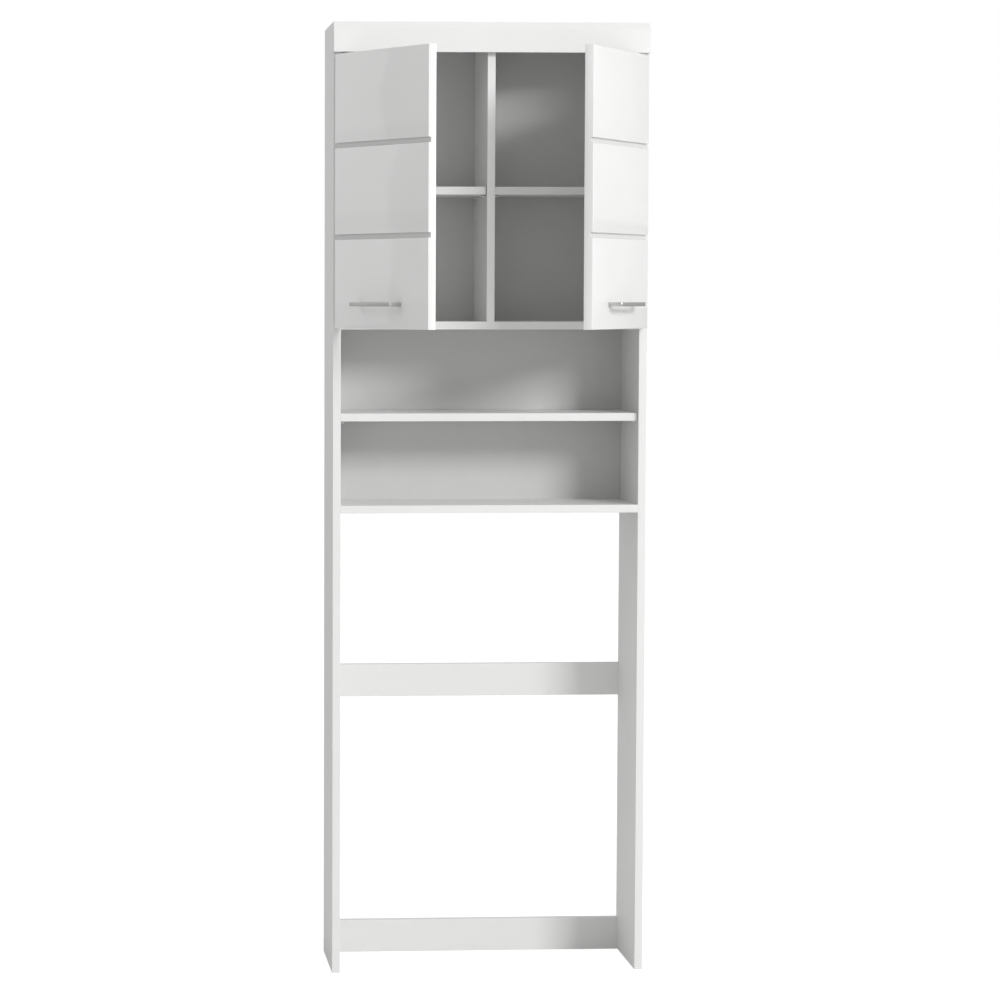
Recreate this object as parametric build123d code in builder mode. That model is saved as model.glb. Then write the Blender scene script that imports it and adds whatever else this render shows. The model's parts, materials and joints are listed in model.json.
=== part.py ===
"""Over-the-toilet storage cabinet: two full-height side panels carry a two-door
cupboard and two open shelves above a bay that is left free for a toilet.

Frame: origin on the floor, on the centre plane and in the plane of the wall.
+X runs to the right seen from the front, -Y points out into the room, +Z is up.
The doors are modelled standing open at DOOR_ANGLE on their concealed hinges.
Every sided piece is modelled on the right and mirrored to the left.
"""
from build123d import *
import os
from math import cos, radians, sin

# ---- carcass -------------------------------------------------------------
WIDTH = 640.0
HEIGHT = 1934.0
DEPTH = 220.0
BOARD = 16.0
BACK_THICK = 3.0
EDGE_ROUND = 0.6

OUTER_X = WIDTH / 2
INNER_X = OUTER_X - BOARD
FRONT_Y = -DEPTH
BACK_Y = -BOARD
BACK_GROOVE = 6.0
GROOVE_PLAY = 0.1

# Undersides of the horizontal boards, from the floor.
BOTTOM_SHELF_Z = 942.6
OPEN_SHELF_Z = 1129.3
CUPBOARD_FLOOR_Z = 1315.7
CUPBOARD_SHELF_Z = 1588.2
TOP_Z = HEIGHT - BOARD

# The loose shelves stand back from the front and clear of the panels beside them.
SHELF_SETBACK = 10.0
SHELF_SIDE_GAP = 1.2
SHELF_BACK_GAP = 2.0

LOWER_RAIL = (0.0, 68.0)
UPPER_RAIL = (543.0, 611.0)

# ---- crown fascia ----------------------------------------------------------
FASCIA_THICK = 18.0
FASCIA_BOTTOM_Z = 1872.5
FASCIA_BEVEL = 14.4
FASCIA_FRONT_Y = FRONT_Y - FASCIA_THICK
FASCIA_DOWEL_X = 150.0
FASCIA_DOWEL_RISE = 20.0

# ---- doors -----------------------------------------------------------------
DOOR_ANGLE = 60.0
DOOR_THICK = 18.0
DOOR_Z = (1318.0, 1868.0)
DOOR_REVEAL = 1.5
DOOR_CENTRE_GAP = 2.0
DOOR_STANDOFF = 2.0
DOOR_ROUND = 1.0
GROOVE_WIDTH = 10.8
GROOVE_FLOOR = 9.6
GROOVE_DEPTH = 5.6
DOOR_HEIGHT = DOOR_Z[1] - DOOR_Z[0]
GROOVE_Z = [DOOR_Z[0] + DOOR_HEIGHT * third / 3 for third in (1, 2)]

# The door turns about an upright axis just behind its front face.
PIVOT_X = 314.0
PIVOT_Y = FRONT_Y - DOOR_THICK
HINGE_EDGE_U = OUTER_X - DOOR_REVEAL - PIVOT_X
FREE_EDGE_U = DOOR_CENTRE_GAP - PIVOT_X
DOOR_FRONT_V = -DOOR_STANDOFF
DOOR_BACK_V = DOOR_FRONT_V + DOOR_THICK

# ---- handles ---------------------------------------------------------------
HANDLE_LENGTH = 138.0
HANDLE_FOOT = 10.0
HANDLE_REACH = 29.0
HANDLE_ARCH = 3.0
HANDLE_STRAP = 4.0
HANDLE_TALL = 8.0
HANDLE_CORNER = 6.0
HANDLE_SOFT = 0.7
HANDLE_SCREW_R = 2.0
HANDLE_SCREW_IN = 10.0
HANDLE_SCREW_HEAD_R = 4.0
HANDLE_SCREW_HEAD = 2.2
HANDLE_Z = DOOR_Z[0] + 49.0
HANDLE_U = (HINGE_EDGE_U + FREE_EDGE_U) / 2

# ---- door bumpers ------------------------------------------------------------
BUMPER_R = 3.0
BUMPER_TALL = 1.7
BUMPER_CROWN = 0.55
UPPER_BUMPER_INSET = 3.2
UPPER_BUMPER_DROP = 25.0
LOWER_BUMPER_INSET = 20.0
LOWER_BUMPER_LIFT = 1.5

# ---- concealed hinges --------------------------------------------------------
HINGE_Z = (DOOR_Z[0] + 80.0, DOOR_Z[1] - 80.0)
CUP_EDGE = 22.5
CUP_U = HINGE_EDGE_U - CUP_EDGE
CUP_R = 17.4
CUP_WALL = 1.2
CUP_DEPTH = 12.6
FLANGE_THICK = 1.0
FLANGE_R = 18.8
EAR_Z = 24.0
EAR_SHIFT = 9.5
EAR_R = 6.0

# The link's pin on the arm, its length, and how it lies when the door is shut.
LINK_PIN = (284.0, FRONT_Y - 10.45)
LINK_LENGTH = 22.0
LINK_SHUT_ANGLE = 5.8
LINK_RATIO = -0.524
LINK_PIN_R = 1.4
LINK_RUNNING_FIT = 0.05
LINK_EYE_R = 2.6
LINK_END_R = 2.0
LINK_THICK = 2.2
LINK_TALL = 5.4
NECK_R = LINK_EYE_R
ARM_NECK_TALL = 10.0
ARM_BODY_TALL = 14.0
FORK_SLOT = 6.0
PLATE_THICK = 3.0
PLATE_LINE = 37.0
PLATE_TALL = 46.0
PLATE_WIDE = 20.0
PLATE_SCREW_STEP = 16.0
ARM_X = (287.0, 299.0)
ARM_LINES = (14.0, 70.0)
ARM_Y = (FRONT_Y + ARM_LINES[0], FRONT_Y + ARM_LINES[1])
ARM_NECK_INSET = 2.0
ARM_NECK_BEND_Y = FRONT_Y - 1.0
FORK_SLOT_DEEP = 9.4
ADJUSTER_LINES = (26.0, 56.0)
ADJUSTER_HEAD = 1.2
ADJUSTER_CROSS = (4.2, 0.9, 0.8)

# ---- fasteners -------------------------------------------------------------
PLAY = 0.1
DOWEL_R = 4.0
DOWEL_LENGTH = 30.0
DOWEL_IN_SIDE = 10.0
DOWEL_IN_BOARD = DOWEL_LENGTH - DOWEL_IN_SIDE
SMALL_DOWEL_R = 3.0
SMALL_DOWEL_LENGTH = 28.0
SMALL_DOWEL_IN_CARCASS = 20.0
RAIL_DOWEL_STEP = 20.0
CAM_R = 7.4
CAM_TALL = 12.4
CAM_INSET = 24.0
CAM_SLOT = CAM_INSET + 3.0
BOLT_R = 3.0
BOLT_NECK_R = 2.0
BOLT_HEAD = 4.0
BOLT_SHANK = CAM_INSET - CAM_R - 2.0
BOLT_BORE = CAM_INSET - CAM_R / 2
BOLT_THREAD_R = 2.5
BOLT_THREAD = 11.0
CAM_LINES = (40.0, 164.0)
DOWEL_LINES = (70.0, 134.0)
PIN_R = 2.45
PIN_IN = 7.5
PIN_OUT = 9.0
PIN_COLLAR_R = 3.9
PIN_COLLAR = 0.9
PIN_LINES = (30.0, 164.0)
SCREW_R = 1.9
SCREW_HEAD_R = 3.4
SCREW_HEAD = 1.8
CUP_SCREW_R = 1.7
CUP_SCREW_IN = 11.0
CONFIRMAT_R = 2.5
CONFIRMAT_HEAD_R = 4.8
CONFIRMAT_LENGTH = 48.0
CONFIRMAT_HEAD = 3.0

# ---- wall fixing -------------------------------------------------------------
BRACKET_X = 200.0
BRACKET_WIDE = 40.0
BRACKET_THICK = 2.0
BRACKET_DROP = 28.0
BRACKET_REACH = 42.0
WALL_HOLE_R = 3.0
WALL_HOLE_Z = TOP_Z - 15.0
BACK_HOLE_R = 4.0
BACK_TOP_GAP = 1.0
BRACKET_SCREW_LINE = 24.0
BRACKET_SCREW_STEP = 12.0

os.makedirs("parts", exist_ok=True)

inner_face = Plane(origin=(INNER_X, 0, 0), x_dir=(0, -1, 0), z_dir=(-1, 0, 0))
u_dir = (cos(radians(DOOR_ANGLE)), sin(radians(DOOR_ANGLE)), 0)
v_dir = (-sin(radians(DOOR_ANGLE)), cos(radians(DOOR_ANGLE)), 0)
leaf = Plane(origin=(PIVOT_X, PIVOT_Y, 0), x_dir=u_dir, z_dir=(0, 0, 1))


def facing_down(height):
    """A plane that faces the floor, with points (x, distance from the wall)."""
    return Plane(origin=(0, 0, height), x_dir=(1, 0, 0), z_dir=(0, 0, -1))


def middle(span):
    """The middle of a pair of limits."""
    return (span[0] + span[1]) / 2


def slab(x_span, y_span, z_span):
    """Adds a plain board, from its limits along the three axes."""
    with BuildSketch(Plane.XY.offset(z_span[0])) as outline:
        with Locations((middle(x_span), middle(y_span))):
            Rectangle(x_span[1] - x_span[0], y_span[1] - y_span[0])
    extrude(outline.sketch, amount=z_span[1] - z_span[0])


def round_bar(plane, points, radius, length):
    """Adds a round bar at each point, standing on the plane along its normal."""
    with BuildSketch(plane) as ends:
        with Locations(*points):
            Circle(radius)
    extrude(ends.sketch, amount=length)


def drill(plane, points, radius, depth):
    """Cuts a hole at each point, from the plane against its normal."""
    with BuildSketch(plane) as mouths:
        with Locations(*points):
            Circle(radius)
    extrude(mouths.sketch, amount=-depth, mode=Mode.SUBTRACT)


def keep(name, piece):
    """Labels a finished piece and writes it."""
    piece.part.label = name
    export_step(piece.part, f"parts/{name}.step")


def keep_pair(name, right):
    """Writes a right-hand piece and its mirror image."""
    with BuildPart() as left:
        mirror(right.part, about=Plane.YZ)
    keep(f"{name}_right", right)
    keep(f"{name}_left", left)


def front_lines(distances):
    """Turns distances from the front edges into distances from the wall."""
    return [DEPTH - distance for distance in distances]


fixed_boards = [BOTTOM_SHELF_Z, CUPBOARD_FLOOR_Z, TOP_Z]
rails = [LOWER_RAIL, UPPER_RAIL]
board_middles = [z + BOARD / 2 for z in fixed_boards]

cam_marks = [(line, z) for z in board_middles for line in front_lines(CAM_LINES)]
cam_marks += [(BOARD / 2, middle(rail)) for rail in rails]
dowel_marks = [(line, z) for z in board_middles for line in front_lines(DOWEL_LINES)]
rail_dowel_steps = (-RAIL_DOWEL_STEP, RAIL_DOWEL_STEP)
dowel_marks += [(BOARD / 2, middle(rail) + step) for rail in rails for step in rail_dowel_steps]
side_pin_marks = [
    (line, z - PIN_R)
    for z in (OPEN_SHELF_Z, CUPBOARD_SHELF_Z)
    for line in front_lines(PIN_LINES)
]
divider_pin_marks = [(line, CUPBOARD_SHELF_Z - PIN_R) for line in front_lines(PIN_LINES)]
plate_screw_marks = [
    (DEPTH - PLATE_LINE, z + s * PLATE_SCREW_STEP) for z in HINGE_Z for s in (-1, 1)
]
fascia_side_dowels = [(OUTER_X - BOARD / 2, FASCIA_BOTTOM_Z + FASCIA_DOWEL_RISE)]
fascia_top_dowels = [(s * FASCIA_DOWEL_X, TOP_Z + BOARD / 2) for s in (-1, 1)]
front_plane = Plane(origin=(0, FRONT_Y, 0), x_dir=(1, 0, 0), z_dir=(0, -1, 0))

# ---- side panels -------------------------------------------------------------
with BuildPart() as side_panel:
    slab((INNER_X, OUTER_X), (FRONT_Y, 0), (0, HEIGHT))
    fillet(side_panel.edges().filter_by(Axis.Z).group_by(Axis.Y)[0], EDGE_ROUND)
    with BuildSketch(Plane.XY.offset(BOTTOM_SHELF_Z)):
        with Locations((INNER_X + BACK_GROOVE / 2, BACK_Y + BACK_THICK / 2)):
            Rectangle(BACK_GROOVE, BACK_THICK + 2 * GROOVE_PLAY)
    extrude(amount=HEIGHT - BOTTOM_SHELF_Z, mode=Mode.SUBTRACT)
    drill(inner_face, cam_marks, BOLT_THREAD_R + PLAY, BOLT_THREAD + PLAY)
    drill(inner_face, dowel_marks, DOWEL_R + PLAY, DOWEL_IN_SIDE + PLAY)
    drill(inner_face, side_pin_marks, PIN_R + PLAY, PIN_IN + PLAY)
    drill(inner_face, plate_screw_marks, SCREW_R + PLAY, BOLT_THREAD + PLAY)
    drill(front_plane, fascia_side_dowels, SMALL_DOWEL_R + PLAY, SMALL_DOWEL_IN_CARCASS + PLAY)
keep_pair("side_panel", side_panel)

# ---- horizontal boards ---------------------------------------------------------
end_planes = [
    Plane(origin=(s * INNER_X, 0, 0), x_dir=(0, s, 0), z_dir=(s, 0, 0)) for s in (1, -1)
]


def end_marks(marks, end, z_low):
    """The marks that fall on one board, as points of its right (0) or left (1) end plane."""
    sign = (-1, 1)[end]
    return [(sign * line, z) for line, z in marks if z_low < z < z_low + BOARD]


def board_joints(z_low):
    """Cuts the cam recesses, bolt bores and dowel bores of a board between the sides."""
    cam_x = INNER_X - CAM_INSET
    recesses = [(s * cam_x, DEPTH - line) for s in (1, -1) for line in CAM_LINES]
    drill(facing_down(z_low), recesses, CAM_R + PLAY, CAM_TALL + PLAY)
    for end in (0, 1):
        bolts = end_marks(cam_marks, end, z_low)
        drill(end_planes[end], bolts, BOLT_R + PLAY, BOLT_BORE)
        dowels = end_marks(dowel_marks, end, z_low)
        drill(end_planes[end], dowels, DOWEL_R + PLAY, DOWEL_IN_BOARD + PLAY)


def soften_front(piece):
    """Rounds the long front edges of a board a little."""
    fillet(piece.edges().filter_by(Axis.X).group_by(Axis.Y)[0], EDGE_ROUND)


bracket_screws_up = [
    (s * BRACKET_X + step, BOARD + BRACKET_SCREW_LINE)
    for s in (1, -1)
    for step in (-BRACKET_SCREW_STEP, BRACKET_SCREW_STEP)
]
confirmat_marks = [(0, line) for line in front_lines(CAM_LINES)]
divider_dowel_marks = [(0, line) for line in front_lines(DOWEL_LINES)]

with BuildPart() as top_board:
    slab((-INNER_X, INNER_X), (FRONT_Y, BACK_Y), (TOP_Z, HEIGHT))
    board_joints(TOP_Z)
    drill(front_plane, fascia_top_dowels, SMALL_DOWEL_R + PLAY, SMALL_DOWEL_IN_CARCASS + PLAY)
    drill(facing_down(TOP_Z), bracket_screws_up, SCREW_R + PLAY, BOLT_THREAD + PLAY)
    drill(facing_down(TOP_Z), divider_dowel_marks, DOWEL_R + PLAY, DOWEL_IN_SIDE + PLAY)
keep("top_board", top_board)

with BuildPart() as cupboard_floor:
    slab((-INNER_X, INNER_X), (FRONT_Y, BACK_Y), (CUPBOARD_FLOOR_Z, CUPBOARD_FLOOR_Z + BOARD))
    soften_front(cupboard_floor)
    board_joints(CUPBOARD_FLOOR_Z)
    under = facing_down(CUPBOARD_FLOOR_Z)
    drill(under, confirmat_marks, CONFIRMAT_R + PLAY, BOARD)
    drill(under, confirmat_marks, CONFIRMAT_HEAD_R + PLAY, CONFIRMAT_HEAD)
keep("cupboard_floor", cupboard_floor)

with BuildPart() as bottom_shelf:
    slab((-INNER_X, INNER_X), (FRONT_Y, BACK_Y), (BOTTOM_SHELF_Z, BOTTOM_SHELF_Z + BOARD))
    soften_front(bottom_shelf)
    board_joints(BOTTOM_SHELF_Z)
keep("bottom_shelf", bottom_shelf)

# ---- divider -------------------------------------------------------------------
with BuildPart() as divider:
    slab((-BOARD / 2, BOARD / 2), (FRONT_Y, BACK_Y), (CUPBOARD_FLOOR_Z + BOARD, TOP_Z))
    fillet(divider.edges().filter_by(Axis.Z).group_by(Axis.Y)[0], EDGE_ROUND)
    for facing in (1, -1):
        face = Plane(
            origin=(facing * BOARD / 2, 0, 0), x_dir=(0, facing, 0), z_dir=(facing, 0, 0)
        )
        marks = [(-facing * line, z) for line, z in divider_pin_marks]
        drill(face, marks, PIN_R + PLAY, PIN_IN + PLAY)
    foot = facing_down(CUPBOARD_FLOOR_Z + BOARD)
    drill(foot, confirmat_marks, CONFIRMAT_R + PLAY, CONFIRMAT_LENGTH - BOARD + PLAY)
    head_marks = [(x, -line) for x, line in divider_dowel_marks]
    drill(Plane.XY.offset(TOP_Z), head_marks, DOWEL_R + PLAY, DOWEL_IN_BOARD + PLAY)
keep("divider", divider)

# ---- loose shelves ---------------------------------------------------------------
shelf_y = (FRONT_Y + SHELF_SETBACK, BACK_Y - SHELF_BACK_GAP)
with BuildPart() as open_shelf:
    reach = INNER_X - SHELF_SIDE_GAP
    slab((-reach, reach), shelf_y, (OPEN_SHELF_Z, OPEN_SHELF_Z + BOARD))
    soften_front(open_shelf)
keep("open_shelf", open_shelf)

with BuildPart() as cupboard_shelf:
    slab(
        (BOARD / 2 + SHELF_SIDE_GAP, INNER_X - SHELF_SIDE_GAP),
        shelf_y,
        (CUPBOARD_SHELF_Z, CUPBOARD_SHELF_Z + BOARD),
    )
    soften_front(cupboard_shelf)
keep_pair("cupboard_shelf", cupboard_shelf)

# ---- back panel ------------------------------------------------------------------
wall_hole_plane = Plane(origin=(0, BACK_Y, 0), x_dir=(1, 0, 0), z_dir=(0, -1, 0))
with BuildPart() as back_panel:
    half = INNER_X + BACK_GROOVE - PLAY
    z_span = (BOTTOM_SHELF_Z + PLAY, HEIGHT - BACK_TOP_GAP)
    slab((-half, half), (BACK_Y, BACK_Y + BACK_THICK), z_span)
    wall_marks = [(s * BRACKET_X, WALL_HOLE_Z) for s in (1, -1)]
    drill(wall_hole_plane, wall_marks, BACK_HOLE_R, BACK_THICK)
keep("back_panel", back_panel)

# ---- rails -----------------------------------------------------------------------
for name, rail in (("lower_rail", LOWER_RAIL), ("upper_rail", UPPER_RAIL)):
    with BuildPart() as cross_rail:
        slab((-INNER_X, INNER_X), (BACK_Y, 0), rail)
        fillet(cross_rail.edges().filter_by(Axis.X).group_by(Axis.Y)[0], EDGE_ROUND)
        drill(
            Plane(origin=(0, 0, 0), x_dir=(-1, 0, 0), z_dir=(0, 1, 0)),
            [(s * (INNER_X - CAM_INSET), middle(rail)) for s in (1, -1)],
            CAM_R + PLAY,
            CAM_TALL + PLAY,
        )
        for end, sign in ((0, -1), (1, 1)):
            bolt = (sign * BOARD / 2, middle(rail))
            drill(end_planes[end], [bolt], BOLT_R + PLAY, BOLT_BORE)
            marks = [(bolt[0], bolt[1] + step) for step in rail_dowel_steps]
            drill(end_planes[end], marks, DOWEL_R + PLAY, DOWEL_IN_BOARD + PLAY)
    keep(name, cross_rail)

# ---- crown fascia ------------------------------------------------------------------
with BuildPart() as crown_fascia:
    with BuildSketch(Plane(origin=(-OUTER_X, 0, 0), x_dir=(0, 1, 0), z_dir=(1, 0, 0))):
        with BuildLine():
            Polyline(
                (FRONT_Y, FASCIA_BOTTOM_Z),
                (FRONT_Y, HEIGHT),
                (FASCIA_FRONT_Y + FASCIA_BEVEL, HEIGHT),
                (FASCIA_FRONT_Y, HEIGHT - FASCIA_BEVEL),
                (FASCIA_FRONT_Y, FASCIA_BOTTOM_Z),
                close=True,
            )
        make_face()
    extrude(amount=WIDTH)
    fillet(crown_fascia.edges().filter_by(Axis.X).group_by(Axis.Y)[0], EDGE_ROUND)
    fascia_back = Plane(origin=(0, FRONT_Y, 0), x_dir=(-1, 0, 0), z_dir=(0, 1, 0))
    side_marks = [(s * x, z) for s in (1, -1) for x, z in fascia_side_dowels]
    drill(
        fascia_back,
        side_marks + fascia_top_dowels,
        SMALL_DOWEL_R + PLAY,
        SMALL_DOWEL_LENGTH - SMALL_DOWEL_IN_CARCASS + PLAY,
    )
keep("crown_fascia", crown_fascia)

# ---- joining hardware of the carcass -------------------------------------------------
with BuildPart() as cam_locks:
    cam_x = INNER_X - CAM_INSET
    for z_low in fixed_boards:
        spots = [(s * cam_x, -line) for s in (1, -1) for line in front_lines(CAM_LINES)]
        round_bar(Plane.XY.offset(z_low + PLAY), spots, CAM_R, CAM_TALL - PLAY)
    for rail in rails:
        spots = [(s * cam_x, middle(rail)) for s in (1, -1)]
        rear = Plane(origin=(0, -PLAY, 0), x_dir=(1, 0, 0), z_dir=(0, -1, 0))
        round_bar(rear, spots, CAM_R, CAM_TALL - PLAY)
    for end, sign in ((0, -1), (1, 1)):
        drill(
            end_planes[end],
            [(sign * line, z) for line, z in cam_marks],
            BOLT_R + 2 * PLAY,
            CAM_SLOT,
        )
keep("cam_locks", cam_locks)

with BuildPart() as bolt_right:
    round_bar(inner_face.offset(-BOLT_THREAD), cam_marks, BOLT_THREAD_R, BOLT_THREAD)
    round_bar(inner_face, cam_marks, BOLT_R, BOLT_SHANK)
    round_bar(inner_face.offset(BOLT_SHANK), cam_marks, BOLT_NECK_R, BOLT_HEAD)
    round_bar(inner_face.offset(BOLT_SHANK + BOLT_HEAD), cam_marks, BOLT_R, BOLT_HEAD)
with BuildPart() as cam_bolts:
    add(bolt_right.part)
    mirror(bolt_right.part, about=Plane.YZ)
keep("cam_bolts", cam_bolts)

with BuildPart() as dowels_right:
    round_bar(inner_face.offset(-DOWEL_IN_SIDE), dowel_marks, DOWEL_R, DOWEL_LENGTH)
with BuildPart() as wood_dowels:
    add(dowels_right.part)
    mirror(dowels_right.part, about=Plane.YZ)
    fascia_marks = [(s * x, z) for s in (1, -1) for x, z in fascia_side_dowels]
    fascia_marks += fascia_top_dowels
    dowel_ends = front_plane.offset(-SMALL_DOWEL_IN_CARCASS)
    round_bar(dowel_ends, fascia_marks, SMALL_DOWEL_R, SMALL_DOWEL_LENGTH)
    divider_top = Plane.XY.offset(TOP_Z - DOWEL_IN_BOARD)
    round_bar(divider_top, head_marks, DOWEL_R, DOWEL_LENGTH)
keep("wood_dowels", wood_dowels)

with BuildPart() as divider_screws:
    stand = Plane.XY.offset(CUPBOARD_FLOOR_Z + PLAY)
    spots = [(x, -line) for x, line in confirmat_marks]
    round_bar(stand, spots, CONFIRMAT_HEAD_R, CONFIRMAT_HEAD - PLAY)
    round_bar(stand, spots, CONFIRMAT_R, CONFIRMAT_LENGTH - PLAY)
keep("divider_screws", divider_screws)


def shelf_pin_row(face, marks):
    """Adds shelf pins that stand in a face: a shank, a collar and a smooth peg."""
    round_bar(face.offset(-PIN_IN), marks, PIN_R, PIN_IN + PIN_OUT)
    round_bar(face, marks, PIN_COLLAR_R, PIN_COLLAR)


with BuildPart() as pins_right:
    shelf_pin_row(inner_face, side_pin_marks)
    divider_face = Plane(origin=(BOARD / 2, 0, 0), x_dir=(0, 1, 0), z_dir=(1, 0, 0))
    shelf_pin_row(divider_face, [(-line, z) for line, z in divider_pin_marks])
with BuildPart() as shelf_pins:
    add(pins_right.part)
    mirror(pins_right.part, about=Plane.YZ)
keep("shelf_pins", shelf_pins)

# ---- wall brackets -----------------------------------------------------------------
with BuildPart() as bracket_right:
    width = (BRACKET_X - BRACKET_WIDE / 2, BRACKET_X + BRACKET_WIDE / 2)
    slab(width, (BACK_Y - BRACKET_REACH, BACK_Y), (TOP_Z - BRACKET_THICK, TOP_Z))
    slab(width, (BACK_Y - BRACKET_THICK, BACK_Y), (TOP_Z - BRACKET_DROP, TOP_Z))
    leg_front = wall_hole_plane.offset(BRACKET_THICK)
    drill(leg_front, [(BRACKET_X, WALL_HOLE_Z)], WALL_HOLE_R, BRACKET_THICK)
    leg_under = facing_down(TOP_Z - BRACKET_THICK)
    drill(leg_under, bracket_screws_up[:2], SCREW_R + PLAY, BRACKET_THICK)
keep_pair("wall_bracket", bracket_right)

with BuildPart() as bracket_screws:
    spots = [(x, -line) for x, line in bracket_screws_up]
    heads = Plane.XY.offset(TOP_Z - BRACKET_THICK - SCREW_HEAD)
    round_bar(heads, spots, SCREW_HEAD_R, SCREW_HEAD)
    round_bar(heads, spots, SCREW_R, SCREW_HEAD + BRACKET_THICK + BOLT_THREAD)
keep("bracket_screws", bracket_screws)


# ---- doors -------------------------------------------------------------------------
def leaf_point(u, v):
    """Where a point of the open door lies: u along its width, v through its thickness."""
    swing = radians(DOOR_ANGLE)
    return (
        PIVOT_X + u * cos(swing) - v * sin(swing),
        PIVOT_Y + u * sin(swing) + v * cos(swing),
    )


def door_rear(v):
    """A plane across the open door that faces its back, with points (-u, height)."""
    return Plane(origin=(*leaf_point(0, v), 0), x_dir=Vector(u_dir) * -1, z_dir=v_dir)


def groove_notch(centre):
    """The section of one groove, down the front of the door."""
    return [
        (DOOR_FRONT_V, centre + GROOVE_WIDTH / 2),
        (DOOR_FRONT_V + GROOVE_DEPTH, centre + GROOVE_FLOOR / 2),
        (DOOR_FRONT_V + GROOVE_DEPTH, centre - GROOVE_FLOOR / 2),
        (DOOR_FRONT_V, centre - GROOVE_WIDTH / 2),
    ]


handle_screw_marks = [
    (HANDLE_U + s * (HANDLE_LENGTH - HANDLE_FOOT) / 2, HANDLE_Z) for s in (-1, 1)
]
cup_marks = [(CUP_U, z) for z in HINGE_Z]
ear_marks = [(CUP_U - EAR_SHIFT, z + s * EAR_Z) for z in HINGE_Z for s in (-1, 1)]


def from_rear(marks):
    """Marks of the door as points of a door_rear plane."""
    return [(-u, z) for u, z in marks]


with BuildPart() as door:
    section = Plane(origin=(*leaf_point(FREE_EDGE_U, 0), 0), x_dir=v_dir, z_dir=u_dir)
    with BuildSketch(section):
        with BuildLine():
            Polyline(
                (DOOR_FRONT_V, DOOR_Z[1]),
                *groove_notch(GROOVE_Z[1]),
                *groove_notch(GROOVE_Z[0]),
                (DOOR_FRONT_V, DOOR_Z[0]),
                (DOOR_BACK_V, DOOR_Z[0]),
                (DOOR_BACK_V, DOOR_Z[1]),
                close=True,
            )
        make_face()
    extrude(amount=HINGE_EDGE_U - FREE_EDGE_U)
    front = door.edges().group_by(Axis(leaf_point(0, 0) + (0,), v_dir))[0]
    uprights = front.filter_by(Axis.Z)
    ends = front.filter_by(Axis((0, 0, 0), u_dir)).sort_by(Axis.Z)
    fillet([*uprights, ends[0], ends[-1]], DOOR_ROUND)
    rear = door_rear(DOOR_BACK_V)
    drill(rear, from_rear(cup_marks), CUP_R + PLAY, CUP_DEPTH + PLAY)
    drill(rear, from_rear(ear_marks), CUP_SCREW_R + PLAY, CUP_SCREW_IN + PLAY)
    drill(rear, from_rear(handle_screw_marks), HANDLE_SCREW_R + PLAY, DOOR_THICK)
keep_pair("door", door)


def bow(wall, foot):
    """The outline of the handle in plan, moved in by its wall and foot."""
    left = HANDLE_U - HANDLE_LENGTH / 2 + foot
    right = HANDLE_U + HANDLE_LENGTH / 2 - foot
    shoulder = DOOR_FRONT_V - HANDLE_REACH + wall
    with BuildSketch(leaf.offset(HANDLE_Z - HANDLE_TALL / 2)) as outline:
        with BuildLine():
            Line((left, DOOR_FRONT_V), (left, shoulder))
            crest = (HANDLE_U, shoulder - HANDLE_ARCH)
            ThreePointArc((left, shoulder), crest, (right, shoulder))
            Polyline((right, shoulder), (right, DOOR_FRONT_V), (left, DOOR_FRONT_V))
        make_face()
        corners = outline.vertices().group_by(Axis.Y)[0]
        fillet(corners, HANDLE_CORNER - wall / 2)
    return outline.sketch


with BuildPart() as handle:
    extrude(bow(0, 0), amount=HANDLE_TALL)
    extrude(bow(HANDLE_STRAP, HANDLE_FOOT), amount=HANDLE_TALL, mode=Mode.SUBTRACT)
    rims = handle.edges().group_by(Axis.Z)
    chamfer([*rims[0], *rims[-1]], HANDLE_SOFT)
    drill(
        door_rear(DOOR_FRONT_V),
        from_rear(handle_screw_marks),
        HANDLE_SCREW_R + PLAY,
        HANDLE_SCREW_IN + PLAY,
    )
keep_pair("handle", handle)

with BuildPart() as handle_screws:
    tips = door_rear(DOOR_FRONT_V - HANDLE_SCREW_IN)
    length = DOOR_THICK + HANDLE_SCREW_IN
    round_bar(tips, from_rear(handle_screw_marks), HANDLE_SCREW_R, length)
    handle_heads = from_rear(handle_screw_marks)
    round_bar(door_rear(DOOR_BACK_V), handle_heads, HANDLE_SCREW_HEAD_R, HANDLE_SCREW_HEAD)
keep_pair("handle_screws", handle_screws)

bumper_marks = [
    (FREE_EDGE_U + UPPER_BUMPER_INSET, DOOR_Z[1] - UPPER_BUMPER_DROP),
    (FREE_EDGE_U + LOWER_BUMPER_INSET, CUPBOARD_FLOOR_Z + BOARD / 2 + LOWER_BUMPER_LIFT),
]
with BuildPart() as door_bumpers:
    round_bar(door_rear(DOOR_BACK_V), from_rear(bumper_marks), BUMPER_R, BUMPER_TALL)
    crowns = door_bumpers.faces().group_by(Axis((0, 0, 0), v_dir))[-1]
    fillet(crowns.edges(), BUMPER_CROWN)
keep_pair("door_bumpers", door_bumpers)

# ---- hinges ------------------------------------------------------------------------
with BuildPart() as hinge_cups:
    rear = door_rear(DOOR_BACK_V)
    round_bar(rear.offset(-CUP_DEPTH), from_rear(cup_marks), CUP_R, CUP_DEPTH)
    round_bar(rear, from_rear(cup_marks), FLANGE_R, FLANGE_THICK)
    round_bar(rear, from_rear(ear_marks), EAR_R, FLANGE_THICK)
    with BuildSketch(rear) as webs:
        with Locations(*[(-CUP_U + EAR_SHIFT, z) for z in HINGE_Z]):
            Rectangle(2 * EAR_R, 2 * EAR_Z)
    extrude(webs.sketch, amount=FLANGE_THICK)
    hollow = CUP_DEPTH + FLANGE_THICK - CUP_WALL
    mouth = rear.offset(FLANGE_THICK)
    drill(mouth, from_rear(cup_marks), CUP_R - CUP_WALL, hollow)
    drill(mouth, from_rear(ear_marks), CUP_SCREW_R + PLAY, FLANGE_THICK)
keep_pair("hinge_cups", hinge_cups)

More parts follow.
